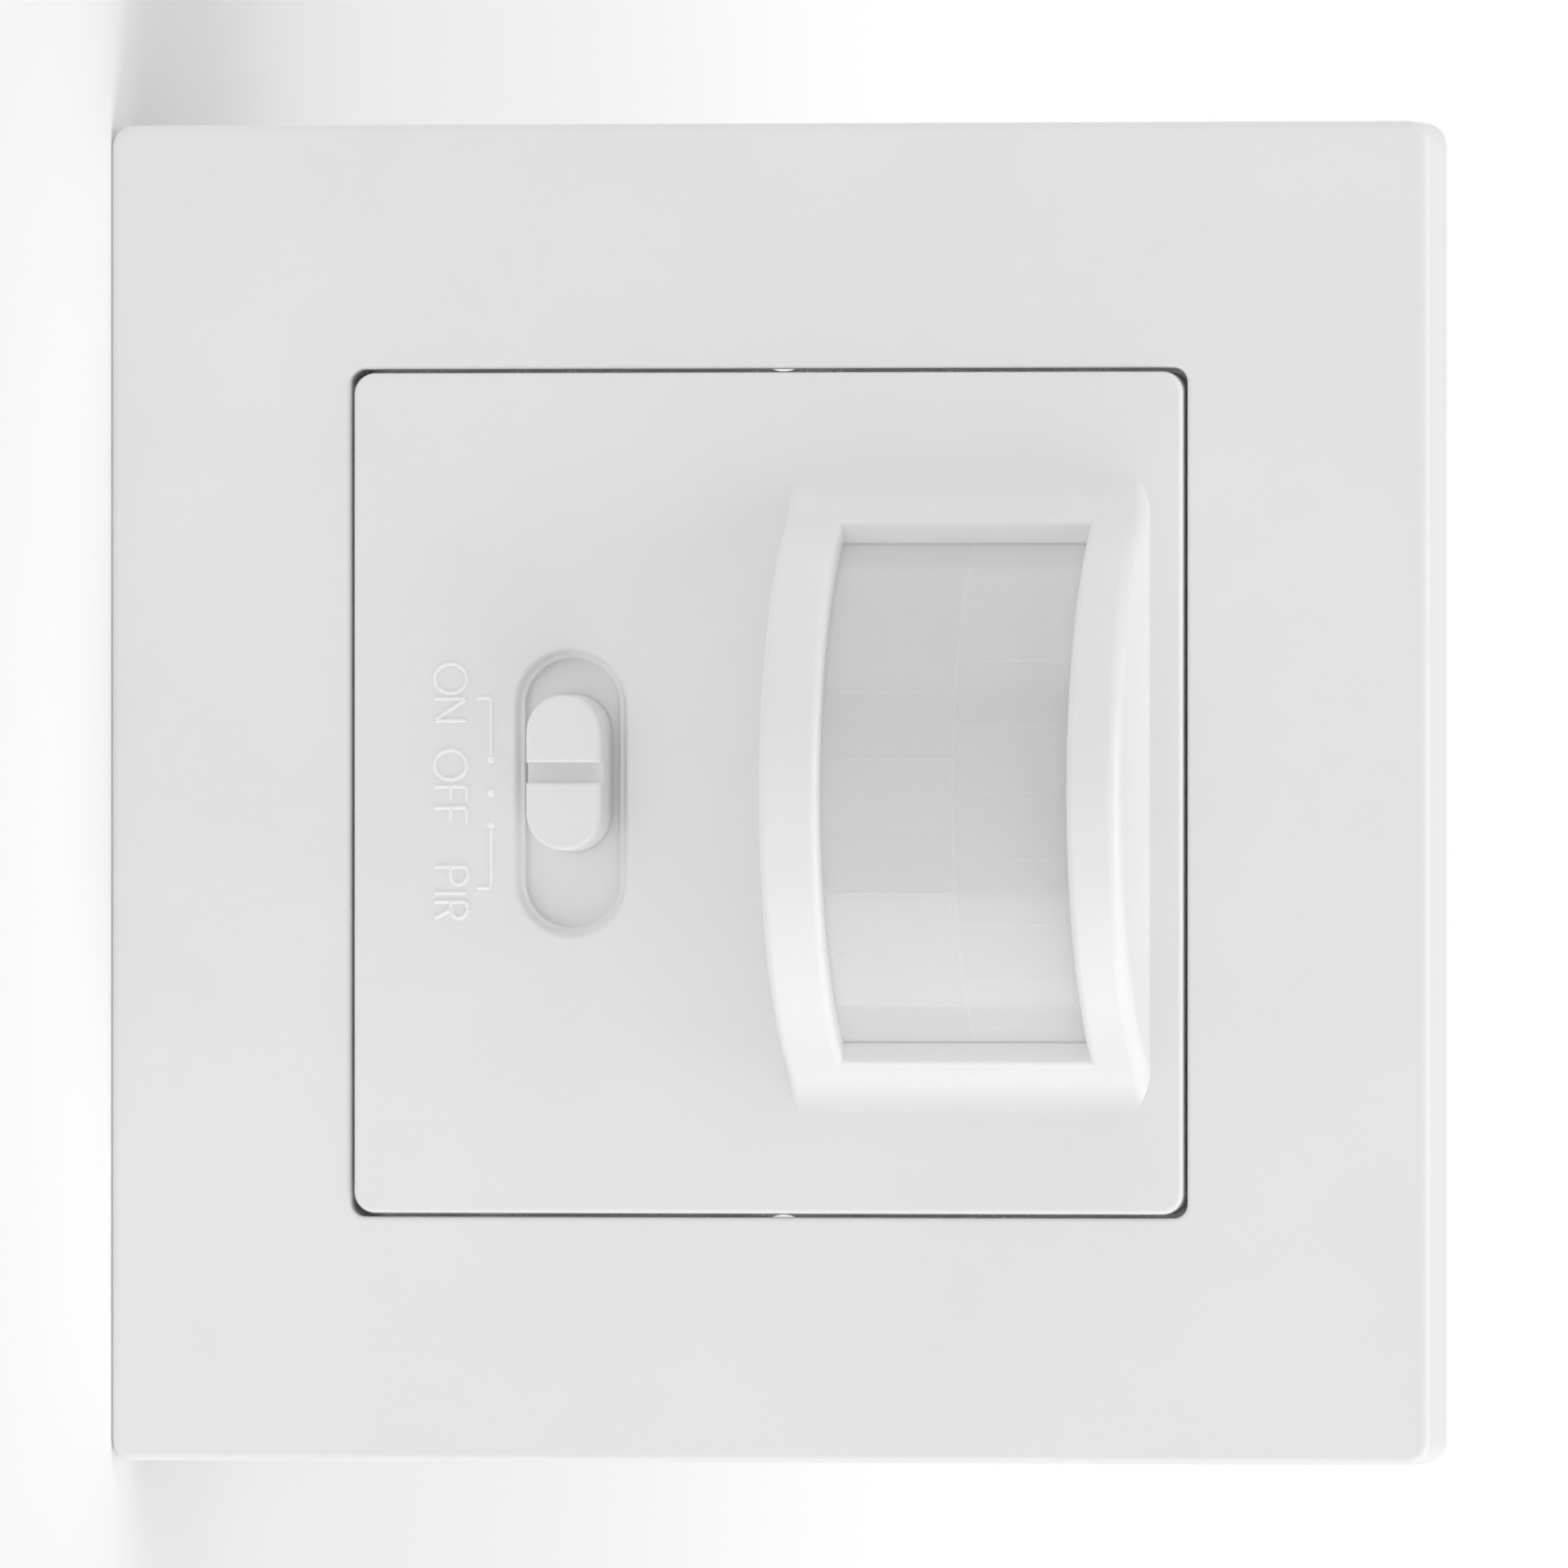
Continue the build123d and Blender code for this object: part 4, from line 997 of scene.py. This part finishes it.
def tick_tree() -> bpy.types.NodeTree:
    """Places ticks along an arc, each pointing at its middle.

    Returns:
        The geometry tree.
    """
    if "tick_arc" in bpy.data.node_groups:
        return bpy.data.node_groups["tick_arc"]
    graph, given = geometry_tree(
        "tick_arc",
        {"Radius": "Float", "Count": "Int", "Start": "Float", "Sweep": "Float",
         "Length": "Float", "Width": "Float", "Height": "Float", "Material": "Material"},
    )
    arc = graph.add(
        "GeometryNodeCurveArc",
        {
            "Radius": given.outputs["Radius"],
            "Start Angle": given.outputs["Start"],
            "Sweep Angle": given.outputs["Sweep"],
        },
        mode="RADIUS",
    ).outputs[0]
    points = graph.add(
        "GeometryNodeCurveToPoints", {"Curve": arc, "Count": given.outputs["Count"]}, mode="COUNT"
    ).outputs[0]
    place = graph.add("GeometryNodeInputPosition").outputs[0]
    x, y, _ = graph.add("ShaderNodeSeparateXYZ", {0: place}).outputs
    turn = graph.add("ShaderNodeCombineXYZ", {2: graph.math("ARCTAN2", y, x)}).outputs[0]
    size = graph.add(
        "ShaderNodeCombineXYZ",
        {0: given.outputs["Length"], 1: given.outputs["Width"], 2: given.outputs["Height"]},
    ).outputs[0]
    tick = graph.add("GeometryNodeMeshCube", {"Size": size}).outputs[0]
    ticks = graph.add(
        "GeometryNodeInstanceOnPoints", {"Points": points, "Instance": tick, "Rotation": turn}
    ).outputs[0]
    close_tree(graph, given, ticks)
    return graph.tree


def dot_tree() -> bpy.types.NodeTree:
    """Places a flattened round dot at each point.

    Returns:
        The geometry tree.
    """
    segments, rings = 20, 12
    graph, given = geometry_tree(
        "raised_dots", {"Radius": "Float", "Height": "Float", "Material": "Material"}
    )
    ball = graph.add(
        "GeometryNodeMeshUVSphere",
        {"Segments": segments, "Rings": rings, "Radius": given.outputs["Radius"]},
    ).outputs[0]
    flat = graph.math("DIVIDE", given.outputs["Height"], given.outputs["Radius"])
    scale = graph.add("ShaderNodeCombineXYZ", {0: 1.0, 1: 1.0, 2: flat}).outputs[0]
    points = graph.add("GeometryNodeMeshToPoints", {"Mesh": given.outputs[0]}).outputs[0]
    dots = graph.add(
        "GeometryNodeInstanceOnPoints", {"Points": points, "Instance": ball, "Scale": scale}
    ).outputs[0]
    close_tree(graph, given, dots)
    return graph.tree


def grown(source: bpy.types.Mesh, tree: bpy.types.NodeTree, values: dict[str, Any]) -> bpy.types.Mesh:
    """Runs a geometry tree on a mesh and keeps the plain result.

    Args:
        source: The mesh that the tree starts from.
        tree: The tree.
        values: Its inputs by name.

    Returns:
        The resulting mesh.
    """
    holder = bpy.data.objects.new(source.name, source)
    bpy.context.scene.collection.objects.link(holder)
    modifier = holder.modifiers.new("grow", "NODES")
    modifier.node_group = tree
    for item in tree.interface.items_tree:
        if item.in_out == "INPUT" and item.name in values:
            modifier[item.identifier] = values[item.name]
    graph = bpy.context.evaluated_depsgraph_get()
    mesh = bpy.data.meshes.new_from_object(holder.evaluated_get(graph))
    bpy.data.objects.remove(holder)
    shape = bmesh.new()
    shape.from_mesh(mesh)
    bmesh.ops.recalc_face_normals(shape, faces=shape.faces)
    shape.to_mesh(mesh)
    shape.free()
    return mesh


def drawn_mesh(name: str, strokes: Iterable[Stroke]) -> bpy.types.Mesh:
    """Makes a mesh of bare edges from strokes in the flat drawing plane.

    Args:
        name: The mesh's name.
        strokes: The strokes, of which one that ends where it starts is closed.

    Returns:
        The mesh.
    """
    same_place = 0.001 * MM
    points: list[Place] = []
    edges: list[tuple[int, int]] = []
    for stroke in strokes:
        first = len(points)
        (start_x, start_z), (end_x, end_z) = stroke[0], stroke[-1]
        closed = hypot(start_x - end_x, start_z - end_z) < same_place
        kept = stroke[:-1] if closed else stroke
        points += [(x, y, 0.0) for x, y in kept]
        edges += [(first + i, first + i + 1) for i in range(len(kept) - 1)]
        if closed:
            edges.append((first + len(kept) - 1, first))
    mesh = bpy.data.meshes.new(name)
    mesh.from_pydata(points, edges, [])
    return mesh


@dataclass
class Word:
    """A generic word of the legend: its letters with their left edges and widths.

    Attributes:
        text: The letters.
        lefts: Left edge of each letter across the switch.
        widths: Width of each letter.
    """

    text: str
    lefts: list[float]
    widths: list[float]

    def strokes(self, base: float, height: float) -> list[Stroke]:
        """Draws the word.

        Args:
            base: Height of its base line.
            height: Height of its letters.

        Returns:
            Its strokes.
        """
        drawn: list[Stroke] = []
        for symbol, left, width in zip(self.text, self.lefts, self.widths):
            drawn += moved(letter(symbol, width, height), left, base)
        return drawn


@dataclass
class Legend:
    """The raised marks under the knob: three dots, two brackets and three generic words.

    Attributes:
        dot_x: Places of the three dots across the switch.
        dot_z: Height of the dots and the brackets' bars.
        dot_radius: Radius of a dot.
        bracket_gap: Distance from a dot to its bracket.
        bracket_x: Places of the brackets' far ends.
        foot: Length of the brackets' feet.
        base: Height of the words' base line.
        cap_height: Height of the letters.
        stroke_width: Width of the strokes.
        proud: How far the marks stand proud.
    """

    dot_x: tuple[float, float, float] = (-2.15 * MM, 0.0, 2.06 * MM)
    dot_z: float = -18.0 * MM
    dot_radius: float = 0.27 * MM
    bracket_gap: float = 0.25 * MM
    bracket_x: tuple[float, float] = (-6.1 * MM, 6.1 * MM)
    foot: float = 0.9 * MM
    base: float = -21.7 * MM
    cap_height: float = 2.1 * MM
    stroke_width: float = 0.25 * MM
    proud: float = 0.15 * MM

    def words(self) -> list[Word]:
        """Gives the three generic words with their measured spacing."""
        return [
            Word("ON", [-8.3 * MM, -6.05 * MM], [1.9 * MM, 1.4 * MM]),
            Word("OFF", [-2.75 * MM, -0.4 * MM, 0.95 * MM], [1.9 * MM, 0.95 * MM, 0.95 * MM]),
            Word("PIR", [4.75 * MM, 6.45 * MM, 7.0 * MM], [1.15 * MM, 0.0, 1.05 * MM]),
        ]

    def strokes(self) -> list[Stroke]:
        """Draws the words and the two brackets.

        Returns:
            Their strokes.
        """
        drawn = [stroke for word in self.words() for stroke in word.strokes(self.base, self.cap_height)]
        for start, end in zip((self.dot_x[0], self.dot_x[2]), self.bracket_x):
            near = start + self.bracket_gap * (1 if end > start else -1)
            drawn.append([(near, self.dot_z), (end, self.dot_z)])
            drawn.append([(end, self.dot_z), (end, self.dot_z - self.foot)])
        return drawn

    def build(self, face: float, material: bpy.types.Material) -> None:
        """Raises the marks on the insert's face.

        Args:
            face: Depth of the face.
            material: Their finish.
        """
        place = Facing.FRONT.matrix(0.0, face, 0.0)
        sizes = {"Width": self.stroke_width, "Height": self.proud, "Material": material}
        mesh = grown(drawn_mesh("legend_strokes", self.strokes()), stroke_tree(), sizes)
        mesh.transform(place)
        add_piece("legend_strokes", mesh, material, "root")
        dots = bpy.data.meshes.new("legend_dots")
        dots.from_pydata([(x, self.dot_z, 0.0) for x in self.dot_x], [], [])
        sizes = {"Radius": self.dot_radius, "Height": self.proud, "Material": material}
        mesh = grown(dots, dot_tree(), sizes)
        mesh.transform(place)
        add_piece("legend_dots", mesh, material, "root")


@dataclass
class FrontCover:
    """The outer frame, the insert with its hood, and the legend.

    Attributes:
        white: Colour of the frame's plastic.
        insert_white: Colour of the insert's plastic.
        mark_highlight_white: Colour of the raised marks, lighter than the face as a painted highlight on
            them.
        insert_proud: How far the insert's face stands in front of the frame's.
    """

    white: Colour = (0.82, 0.82, 0.818)
    insert_white: Colour = (0.82, 0.82, 0.819)
    mark_highlight_white: Colour = (0.93, 0.93, 0.93)
    insert_proud: float = 0.3 * MM

    def build(self) -> None:
        """Finishes the nodes and raises the legend."""
        paint(Moulded("cover_satin", self.white, roughness=0.46, depth=0.006 * MM), "outer_frame")
        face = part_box("outer_frame")[0].y - self.insert_proud
        paint(
            HoodedMoulding("insert_satin", self.insert_white, roughness=0.42, face=face),
            "front_insert",
        )
        # The marks are coloured lighter than the face: a painted highlight on the raised strokes.
        marks = Moulded("legend_gloss_highlight", self.mark_highlight_white, roughness=0.3, speck=0.0).build()
        Legend().build(face, marks)


@dataclass
class LensUnit:
    """The lens and the retainer behind it.

    Attributes:
        milk: Colour of the lens.
        natural: Colour of the retainer.
    """

    milk: Colour = (0.63, 0.63, 0.632)
    natural: Colour = (0.70, 0.70, 0.69)

    def build(self) -> None:
        """Builds the lens sheet over its node and finishes the retainer."""
        shape = LensShape()
        material = MilkySheet("lens_milk", self.milk).build(shape)
        sheet = add_piece("lens_sheet", shape.mesh(), material, "root")
        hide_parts("fresnel_lens")
        paint(Moulded("retainer_natural", self.natural, roughness=0.5), "lens_retainer")


@dataclass
class ModeSwitch:
    """The knob and the slide switch that it drives.

    Attributes:
        knob_white: Colour of the knob.
        tin: Colour of the switch's shell and contact.
        phenolic: Colour of its base.
        resin: Colour of its slider.
    """

    knob_white: Colour = (0.83, 0.83, 0.828)
    tin: Colour = (0.68, 0.68, 0.67)
    phenolic: Colour = (0.10, 0.06, 0.04)
    resin: Colour = (0.03, 0.03, 0.032)

    def build(self) -> None:
        """Finishes the knob and the switch's four parts."""
        paint(Moulded("knob_satin", self.knob_white, roughness=0.36), "slider_knob")
        tin = Plated("switch_tin", self.tin, roughness=0.3)
        paint(tin, "slide_switch_frame", "slide_switch_contact")
        base = Moulded(
            "switch_phenolic", self.phenolic, roughness=0.5,
            grain=0.3 * MM, depth=0.01 * MM, tone=0.3, speck=0.5,
        )
        paint(base, "slide_switch_base")
        paint(Moulded("switch_resin", self.resin, roughness=0.38), "slide_switch_actuator")


@dataclass
class SensorBoard:
    """The front board with the heat sensor, the photocell and the small parts.

    Attributes:
        mask: Colour of the boards.
        track: Colour over their tracks.
        nickel: Colour of the sensor's can.
        window: Colour of the can's window.
        ceramic: Colour of the sensor's element.
        cell_face: Colour of the photocell's face.
        cell_track: Colour of the track on it.
        resin: Colour of the moulded parts.
        sleeve: Colour of the capacitors' sleeves.
        sleeve_light: Lighter colour of those sleeves.
        natural: Colour of the spacers.
    """

    mask: Colour = (0.03, 0.19, 0.08)
    track: Colour = (0.06, 0.30, 0.12)
    nickel: Colour = (0.66, 0.64, 0.60)
    window: Colour = (0.035, 0.03, 0.045)
    ceramic: Colour = (0.80, 0.78, 0.72)
    cell_face: Colour = (0.72, 0.56, 0.42)
    cell_track: Colour = (0.45, 0.10, 0.05)
    resin: Colour = (0.028, 0.028, 0.03)
    sleeve: Colour = (0.035, 0.045, 0.09)
    sleeve_light: Colour = (0.05, 0.06, 0.11)
    natural: Colour = (0.72, 0.71, 0.68)

    def build(self) -> None:
        """Finishes the boards and what stands on the front one."""
        paint(Laminate("board_mask", self.mask, self.track), "sensor_board", "power_board")
        nickel = Plated("can_nickel", self.nickel, roughness=0.22, lines=0.08 * MM)
        paint(nickel, "pir_header", "pir_can")
        paint(Moulded("filter_dark", self.window, roughness=0.08, coat=1.0), "pir_filter")
        paint(Moulded("element_ceramic", self.ceramic, roughness=0.6), "pir_element")
        cell = Banded(
            "photocell_track", self.cell_face, roughness=0.4, coat=0.8,
            axis=0, pitch=0.8 * MM, second=self.cell_track, ridge=0.01 * MM,
        )
        paint(cell, "light_sensor")
        resin = Moulded("part_resin", self.resin, roughness=0.45, speck=0.2)
        paint(resin, "controller_chip", "board_header", "relay_base", "rectifier_diodes")
        sleeve = Banded(
            "can_sleeve", self.sleeve, roughness=0.25, coat=0.6,
            axis=1, pitch=5.2 * MM, second=self.sleeve_light, ridge=0.004 * MM,
        )
        paint(sleeve, "sensor_capacitors", "smoothing_capacitor")
        paint(Moulded("spacer_natural", self.natural, roughness=0.5), "board_spacers")


@dataclass
class PowerBoard:
    """The rear board's parts: the relay, the capacitors, the trimmers and the terminals.

    Attributes:
        housing_white: Colour of the housing.
        relay_blue: Colour of the relay's case.
        iron: Colour of its yoke and armature.
        wire: Colour of its winding.
        wire_shade: Colour between the turns, painted shade in the grooves between them.
        silver: Colour of its contact.
        film_yellow: Colour of the film capacitor.
        varistor_blue: Colour of the varistor.
        fuse_green: Colour of the fuse resistor.
        trimmer_blue: Colour of the trimmers' bodies.
        trimmer_white: Colour of their rotors.
        brass: Colour of the terminals' cages.
        zinc: Colour of the screws.
        terminal_grey: Colour of the terminal block.
        tick_count: Number of ticks round a trimmer.
        tick_radius: Radius of their arc.
        tick_length: Length of a tick.
        tick_width: Width of a tick.
        tick_proud: How far the ticks and the numbers stand proud.
        sweep: Angle of the arc.
        digit_height: Height of a number.
        digit_width: Width of a number.
        digit_stroke: Width of its strokes.
    """

    housing_white: Colour = (0.74, 0.74, 0.732)
    relay_blue: Colour = (0.03, 0.09, 0.25)
    iron: Colour = (0.46, 0.46, 0.45)
    wire: Colour = (0.62, 0.27, 0.10)
    wire_shade: Colour = (0.25, 0.08, 0.03)
    silver: Colour = (0.72, 0.71, 0.69)
    film_yellow: Colour = (0.62, 0.44, 0.05)
    varistor_blue: Colour = (0.04, 0.12, 0.36)
    fuse_green: Colour = (0.24, 0.36, 0.30)
    trimmer_blue: Colour = (0.05, 0.16, 0.42)
    trimmer_white: Colour = (0.80, 0.80, 0.78)
    brass: Colour = (0.66, 0.50, 0.22)
    zinc: Colour = (0.63, 0.63, 0.60)
    terminal_grey: Colour = (0.16, 0.17, 0.18)
    tick_count: int = 11
    tick_radius: float = 3.3 * MM
    tick_length: float = 0.8 * MM
    tick_width: float = 0.22 * MM
    tick_proud: float = 0.12 * MM
    sweep: float = radians(240)
    digit_height: float = 1.3 * MM
    digit_width: float = 0.75 * MM
    digit_stroke: float = 0.2 * MM

    def build(self) -> None:
        """Finishes the rear parts and raises the marks on the back."""
        self.finish_relay()
        self.finish_parts()
        grey = Moulded("terminal_grey", self.terminal_grey, roughness=0.4, speck=0.1)
        block = paint(grey, "terminal_block")
        white = Moulded(
            "housing_satin", self.housing_white, roughness=0.48, grain=0.2 * MM, depth=0.008 * MM
        )
        housing = paint(white, "back_housing")
        self.raise_scales(housing)
        self.raise_digits(block)

    def finish_relay(self) -> None:
        """Gives each part of the relay its own finish."""
        paint(Moulded("relay_blue", self.relay_blue, roughness=0.3, coat=0.3), "relay_case")
        iron = Plated("relay_iron", self.iron, roughness=0.36)
        paint(iron, "relay_yoke", "relay_armature")
        # The darker colour between the turns is painted shade in the grooves of the winding.
        wire = Banded(
            "coil_wire", self.wire, roughness=0.25, coat=0.7,
            axis=1, pitch=0.22 * MM, second=self.wire_shade, ridge=0.05 * MM,
        )
        paint(wire, "relay_coil")
        paint(Plated("contact_silver", self.silver, roughness=0.24), "relay_contact")

    def finish_parts(self) -> None:
        """Gives the other parts of the rear board and the screws their finishes."""
        paint(Moulded("film_yellow", self.film_yellow, roughness=0.28, coat=0.4), "film_capacitor")
        epoxy = Moulded(
            "varistor_blue", self.varistor_blue, roughness=0.2,
            grain=0.9 * MM, depth=0.03 * MM, coat=0.6,
        )
        paint(epoxy, "varistor")
        paint(Moulded("fuse_green", self.fuse_green, roughness=0.45, speck=0.15), "fuse_resistor")
        body = Moulded("trimmer_blue", self.trimmer_blue, roughness=0.3)
        paint(body, "time_trimmer_body", "lux_trimmer_body")
        rotor = Moulded("trimmer_white", self.trimmer_white, roughness=0.36)
        paint(rotor, "time_trimmer_rotor", "lux_trimmer_rotor")
        paint(Plated("terminal_brass", self.brass, roughness=0.3), "terminal_cages")
        zinc = Plated("screw_zinc", self.zinc, roughness=0.26, lines=0.07 * MM)
        paint(zinc, "terminal_screws", "housing_screws")

    def raise_scales(self, material: bpy.types.Material) -> None:
        """Raises an arc of ticks on the back wall round each trimmer's shaft.

        Args:
            material: Their finish.
        """
        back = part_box("back_housing")[1].y
        for node, name in (("time_trimmer_rotor", "time_scale"), ("lux_trimmer_rotor", "daylight_scale")):
            low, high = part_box(node)
            seed = bpy.data.meshes.new(name)
            values = {
                "Radius": self.tick_radius,
                "Count": self.tick_count,
                "Start": (pi - self.sweep) / 2,
                "Sweep": self.sweep,
                "Length": self.tick_length,
                "Width": self.tick_width,
                "Height": 2 * self.tick_proud,
                "Material": material,
            }
            mesh = grown(seed, tick_tree(), values)
            place = (low + high) / 2
            mesh.transform(Facing.BACK.matrix(place.x, back, place.z))
            add_piece(name, mesh, material, "root")

    def raise_digits(self, material: bpy.types.Material) -> None:
        """Raises the numbers 1 to 3 over the terminals, from left to right as seen from behind.

        Args:
            material: Their finish.
        """
        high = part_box("terminal_block")[1]
        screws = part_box("terminal_screws")
        head = screws[1].z - screws[0].z
        pitch = (screws[1].x - screws[0].x - head) / 2
        base = high.z - self.digit_height - self.digit_stroke
        drawn: list[Stroke] = []
        for i, symbol in enumerate("123"):
            left = (i - 1) * pitch - self.digit_width / 2
            drawn += moved(letter(symbol, self.digit_width, self.digit_height), left, base)
        sizes = {"Width": self.digit_stroke, "Height": self.tick_proud, "Material": material}
        mesh = grown(drawn_mesh("terminal_numbers", drawn), stroke_tree(), sizes)
        mesh.transform(Facing.BACK.matrix(0.0, high.y, 0.0))
        add_piece("terminal_numbers", mesh, material, "root")


@dataclass
class WallStrap:
    """The plated steel strap that takes the wall screws.

    Attributes:
        zinc: Colour of its plating.
    """

    zinc: Colour = (0.64, 0.64, 0.62)

    def build(self) -> None:
        """Finishes the strap."""
        paint(Plated("strap_zinc", self.zinc, roughness=0.3, lines=0.16 * MM), "mounting_strap")


@dataclass(frozen=True)
class Softbox:
    """A soft lamp that faces the switch.

    Attributes:
        name: The lamp's name.
        place: Where it hangs.
        side: Length of its square's side.
        power: Its power in watts.
    """

    name: str
    place: Place
    side: float
    power: float

    def hang(self) -> None:
        """Hangs the lamp, out of the camera's sight."""
        light = bpy.data.lights.new(self.name, "AREA")
        light.shape = "SQUARE"
        light.size = self.side
        light.energy = self.power
        lamp = bpy.data.objects.new(self.name, light)
        lamp.location = self.place
        lamp.rotation_euler = (-Vector(self.place)).to_track_quat("-Z", "Y").to_euler()
        lamp.visible_camera = False
        bpy.context.scene.collection.objects.link(lamp)


@dataclass
class Studio:
    """The plain floor, the soft light and the camera.

    Attributes:
        distance: From the camera to the middle of the plate's front.
        tilt: How far above the plate's square view the camera stands.
        seen_width: Width of the picture at the plate's front.
        aim: Place on the plate's front at the middle of the picture, across and up.
        sensor: Width of the camera's sensor in its own millimetres.
        fill: Strength of the even light from all round.
        floor_half: Half the floor's side.
        floor_colour: Colour of the floor.
        shadow_reach: How far from the switch the shadow on the floor begins to fade, and is gone.
        lamps: The soft lamps.
    """

    distance: float = 2.0
    tilt: float = radians(10.0)
    seen_width: float = 100.65 * MM
    aim: Point = (-0.58 * MM, 1.05 * MM)
    sensor: float = 36.0
    fill: float = 0.485
    floor_half: float = 4.0
    floor_colour: Colour = (0.94, 0.94, 0.94)
    shadow_reach: Point = (0.08, 0.30)
    lamps: tuple[Softbox, ...] = (
        Softbox("right_softbox", (0.73, -0.33, 0.10), 0.78, 2.7),
        Softbox("left_softbox", (-0.75, -0.27, 0.12), 0.90, 2.1),
        Softbox("top_softbox", (0.0, -0.16, 0.80), 0.50, 1.65),
        Softbox("corner_softbox", (0.45, -0.20, 0.65), 0.50, 1.35),
    )

    def build(self) -> None:
        """Makes everything that stands round the switch."""
        self.make_world()
        self.make_floor()
        for lamp in self.lamps:
            lamp.hang()
        self.make_camera()
        bpy.context.scene.view_settings.view_transform = "Standard"

    def seen_directly(self, graph: Graph) -> bpy.types.NodeSocket:
        """Gives 1 for rays from the camera, and for those in gloss or clear pieces.

        Args:
            graph: The graph of the world or material that uses it.

        Returns:
            The result's socket.
        """
        path = graph.add("ShaderNodeLightPath").outputs
        seen = graph.math("MAXIMUM", path["Is Camera Ray"], path["Is Glossy Ray"])
        return graph.math("MAXIMUM", seen, path["Is Transmission Ray"])

    def make_world(self) -> None:
        """Lights the switch evenly and shows white behind it."""
        world = bpy.data.worlds.new("studio")
        world.use_nodes = True
        graph = Graph(world.node_tree)
        strength = graph.add(
            "ShaderNodeMapRange", {"Value": self.seen_directly(graph), "To Min": self.fill}
        ).outputs[0]
        background = world.node_tree.nodes["Background"]
        background.inputs["Color"].default_value = rgba((1.0, 1.0, 1.0))
        graph.tree.links.new(strength, background.inputs["Strength"])
        bpy.context.scene.world = world

    def make_floor(self) -> None:
        """Lays a plain pale floor under the plate's lower edge, which keeps a soft shadow."""
        level = cad_box[0].z
        half = self.floor_half
        mesh = bpy.data.meshes.new("floor")
        corners = [(-half, -half), (half, -half), (half, half), (-half, half)]
        mesh.from_pydata([(x, y, level) for x, y in corners], [], [(0, 1, 2, 3)])
        material = bpy.data.materials.new("pale_floor")
        material.use_nodes = True
        graph = Graph(material.node_tree)
        graph.tree.nodes.clear()
        matt = graph.add("ShaderNodeBsdfDiffuse", {"Color": rgba(self.floor_colour)}).outputs[0]
        white = graph.add("ShaderNodeEmission", {"Color": rgba((1.0, 1.0, 1.0))}).outputs[0]
        place = graph.add("ShaderNodeTexCoord").outputs["Object"]
        away = graph.add("ShaderNodeVectorMath", {0: place}, operation="LENGTH").outputs["Value"]
        plain = graph.fade(away, *self.shadow_reach)
        share = graph.math("MULTIPLY", self.seen_directly(graph), plain)
        mixed = graph.add("ShaderNodeMixShader", {0: share, 1: matt, 2: white}).outputs[0]
        graph.add("ShaderNodeOutputMaterial", {0: mixed})
        mesh.materials.append(material)
        floor = bpy.data.objects.new("floor", mesh)
        bpy.context.scene.collection.objects.link(floor)
        floor.visible_glossy = False

    def make_camera(self) -> None:
        """Stands the camera a little above the plate, with the plate's top to the right."""
        data = bpy.data.cameras.new("portrait")
        data.sensor_width = self.sensor
        data.lens = self.sensor * self.distance / self.seen_width
        camera = bpy.data.objects.new("portrait", data)
        right = Vector((0.0, sin(self.tilt), cos(self.tilt)))
        up = Vector((-1.0, 0.0, 0.0))
        back = right.cross(up)
        target = Vector((self.aim[0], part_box("outer_frame")[0].y, self.aim[1]))
        axes = Matrix((right, up, back)).transposed().to_4x4()
        camera.matrix_world = Matrix.Translation(target + self.distance * back) @ axes
        bpy.context.scene.collection.objects.link(camera)
        bpy.context.scene.camera = camera


def main() -> None:
    """Dresses the switch and stands it in the studio."""
    logging.basicConfig(level=logging.INFO, format="%(name)s: %(message)s")
    Studio().build()
    for part in (FrontCover(), LensUnit(), ModeSwitch(), SensorBoard(), PowerBoard(), WallStrap()):
        log.info("building %s", type(part).__name__)
        part.build()


if __name__ == "__main__":
    main()
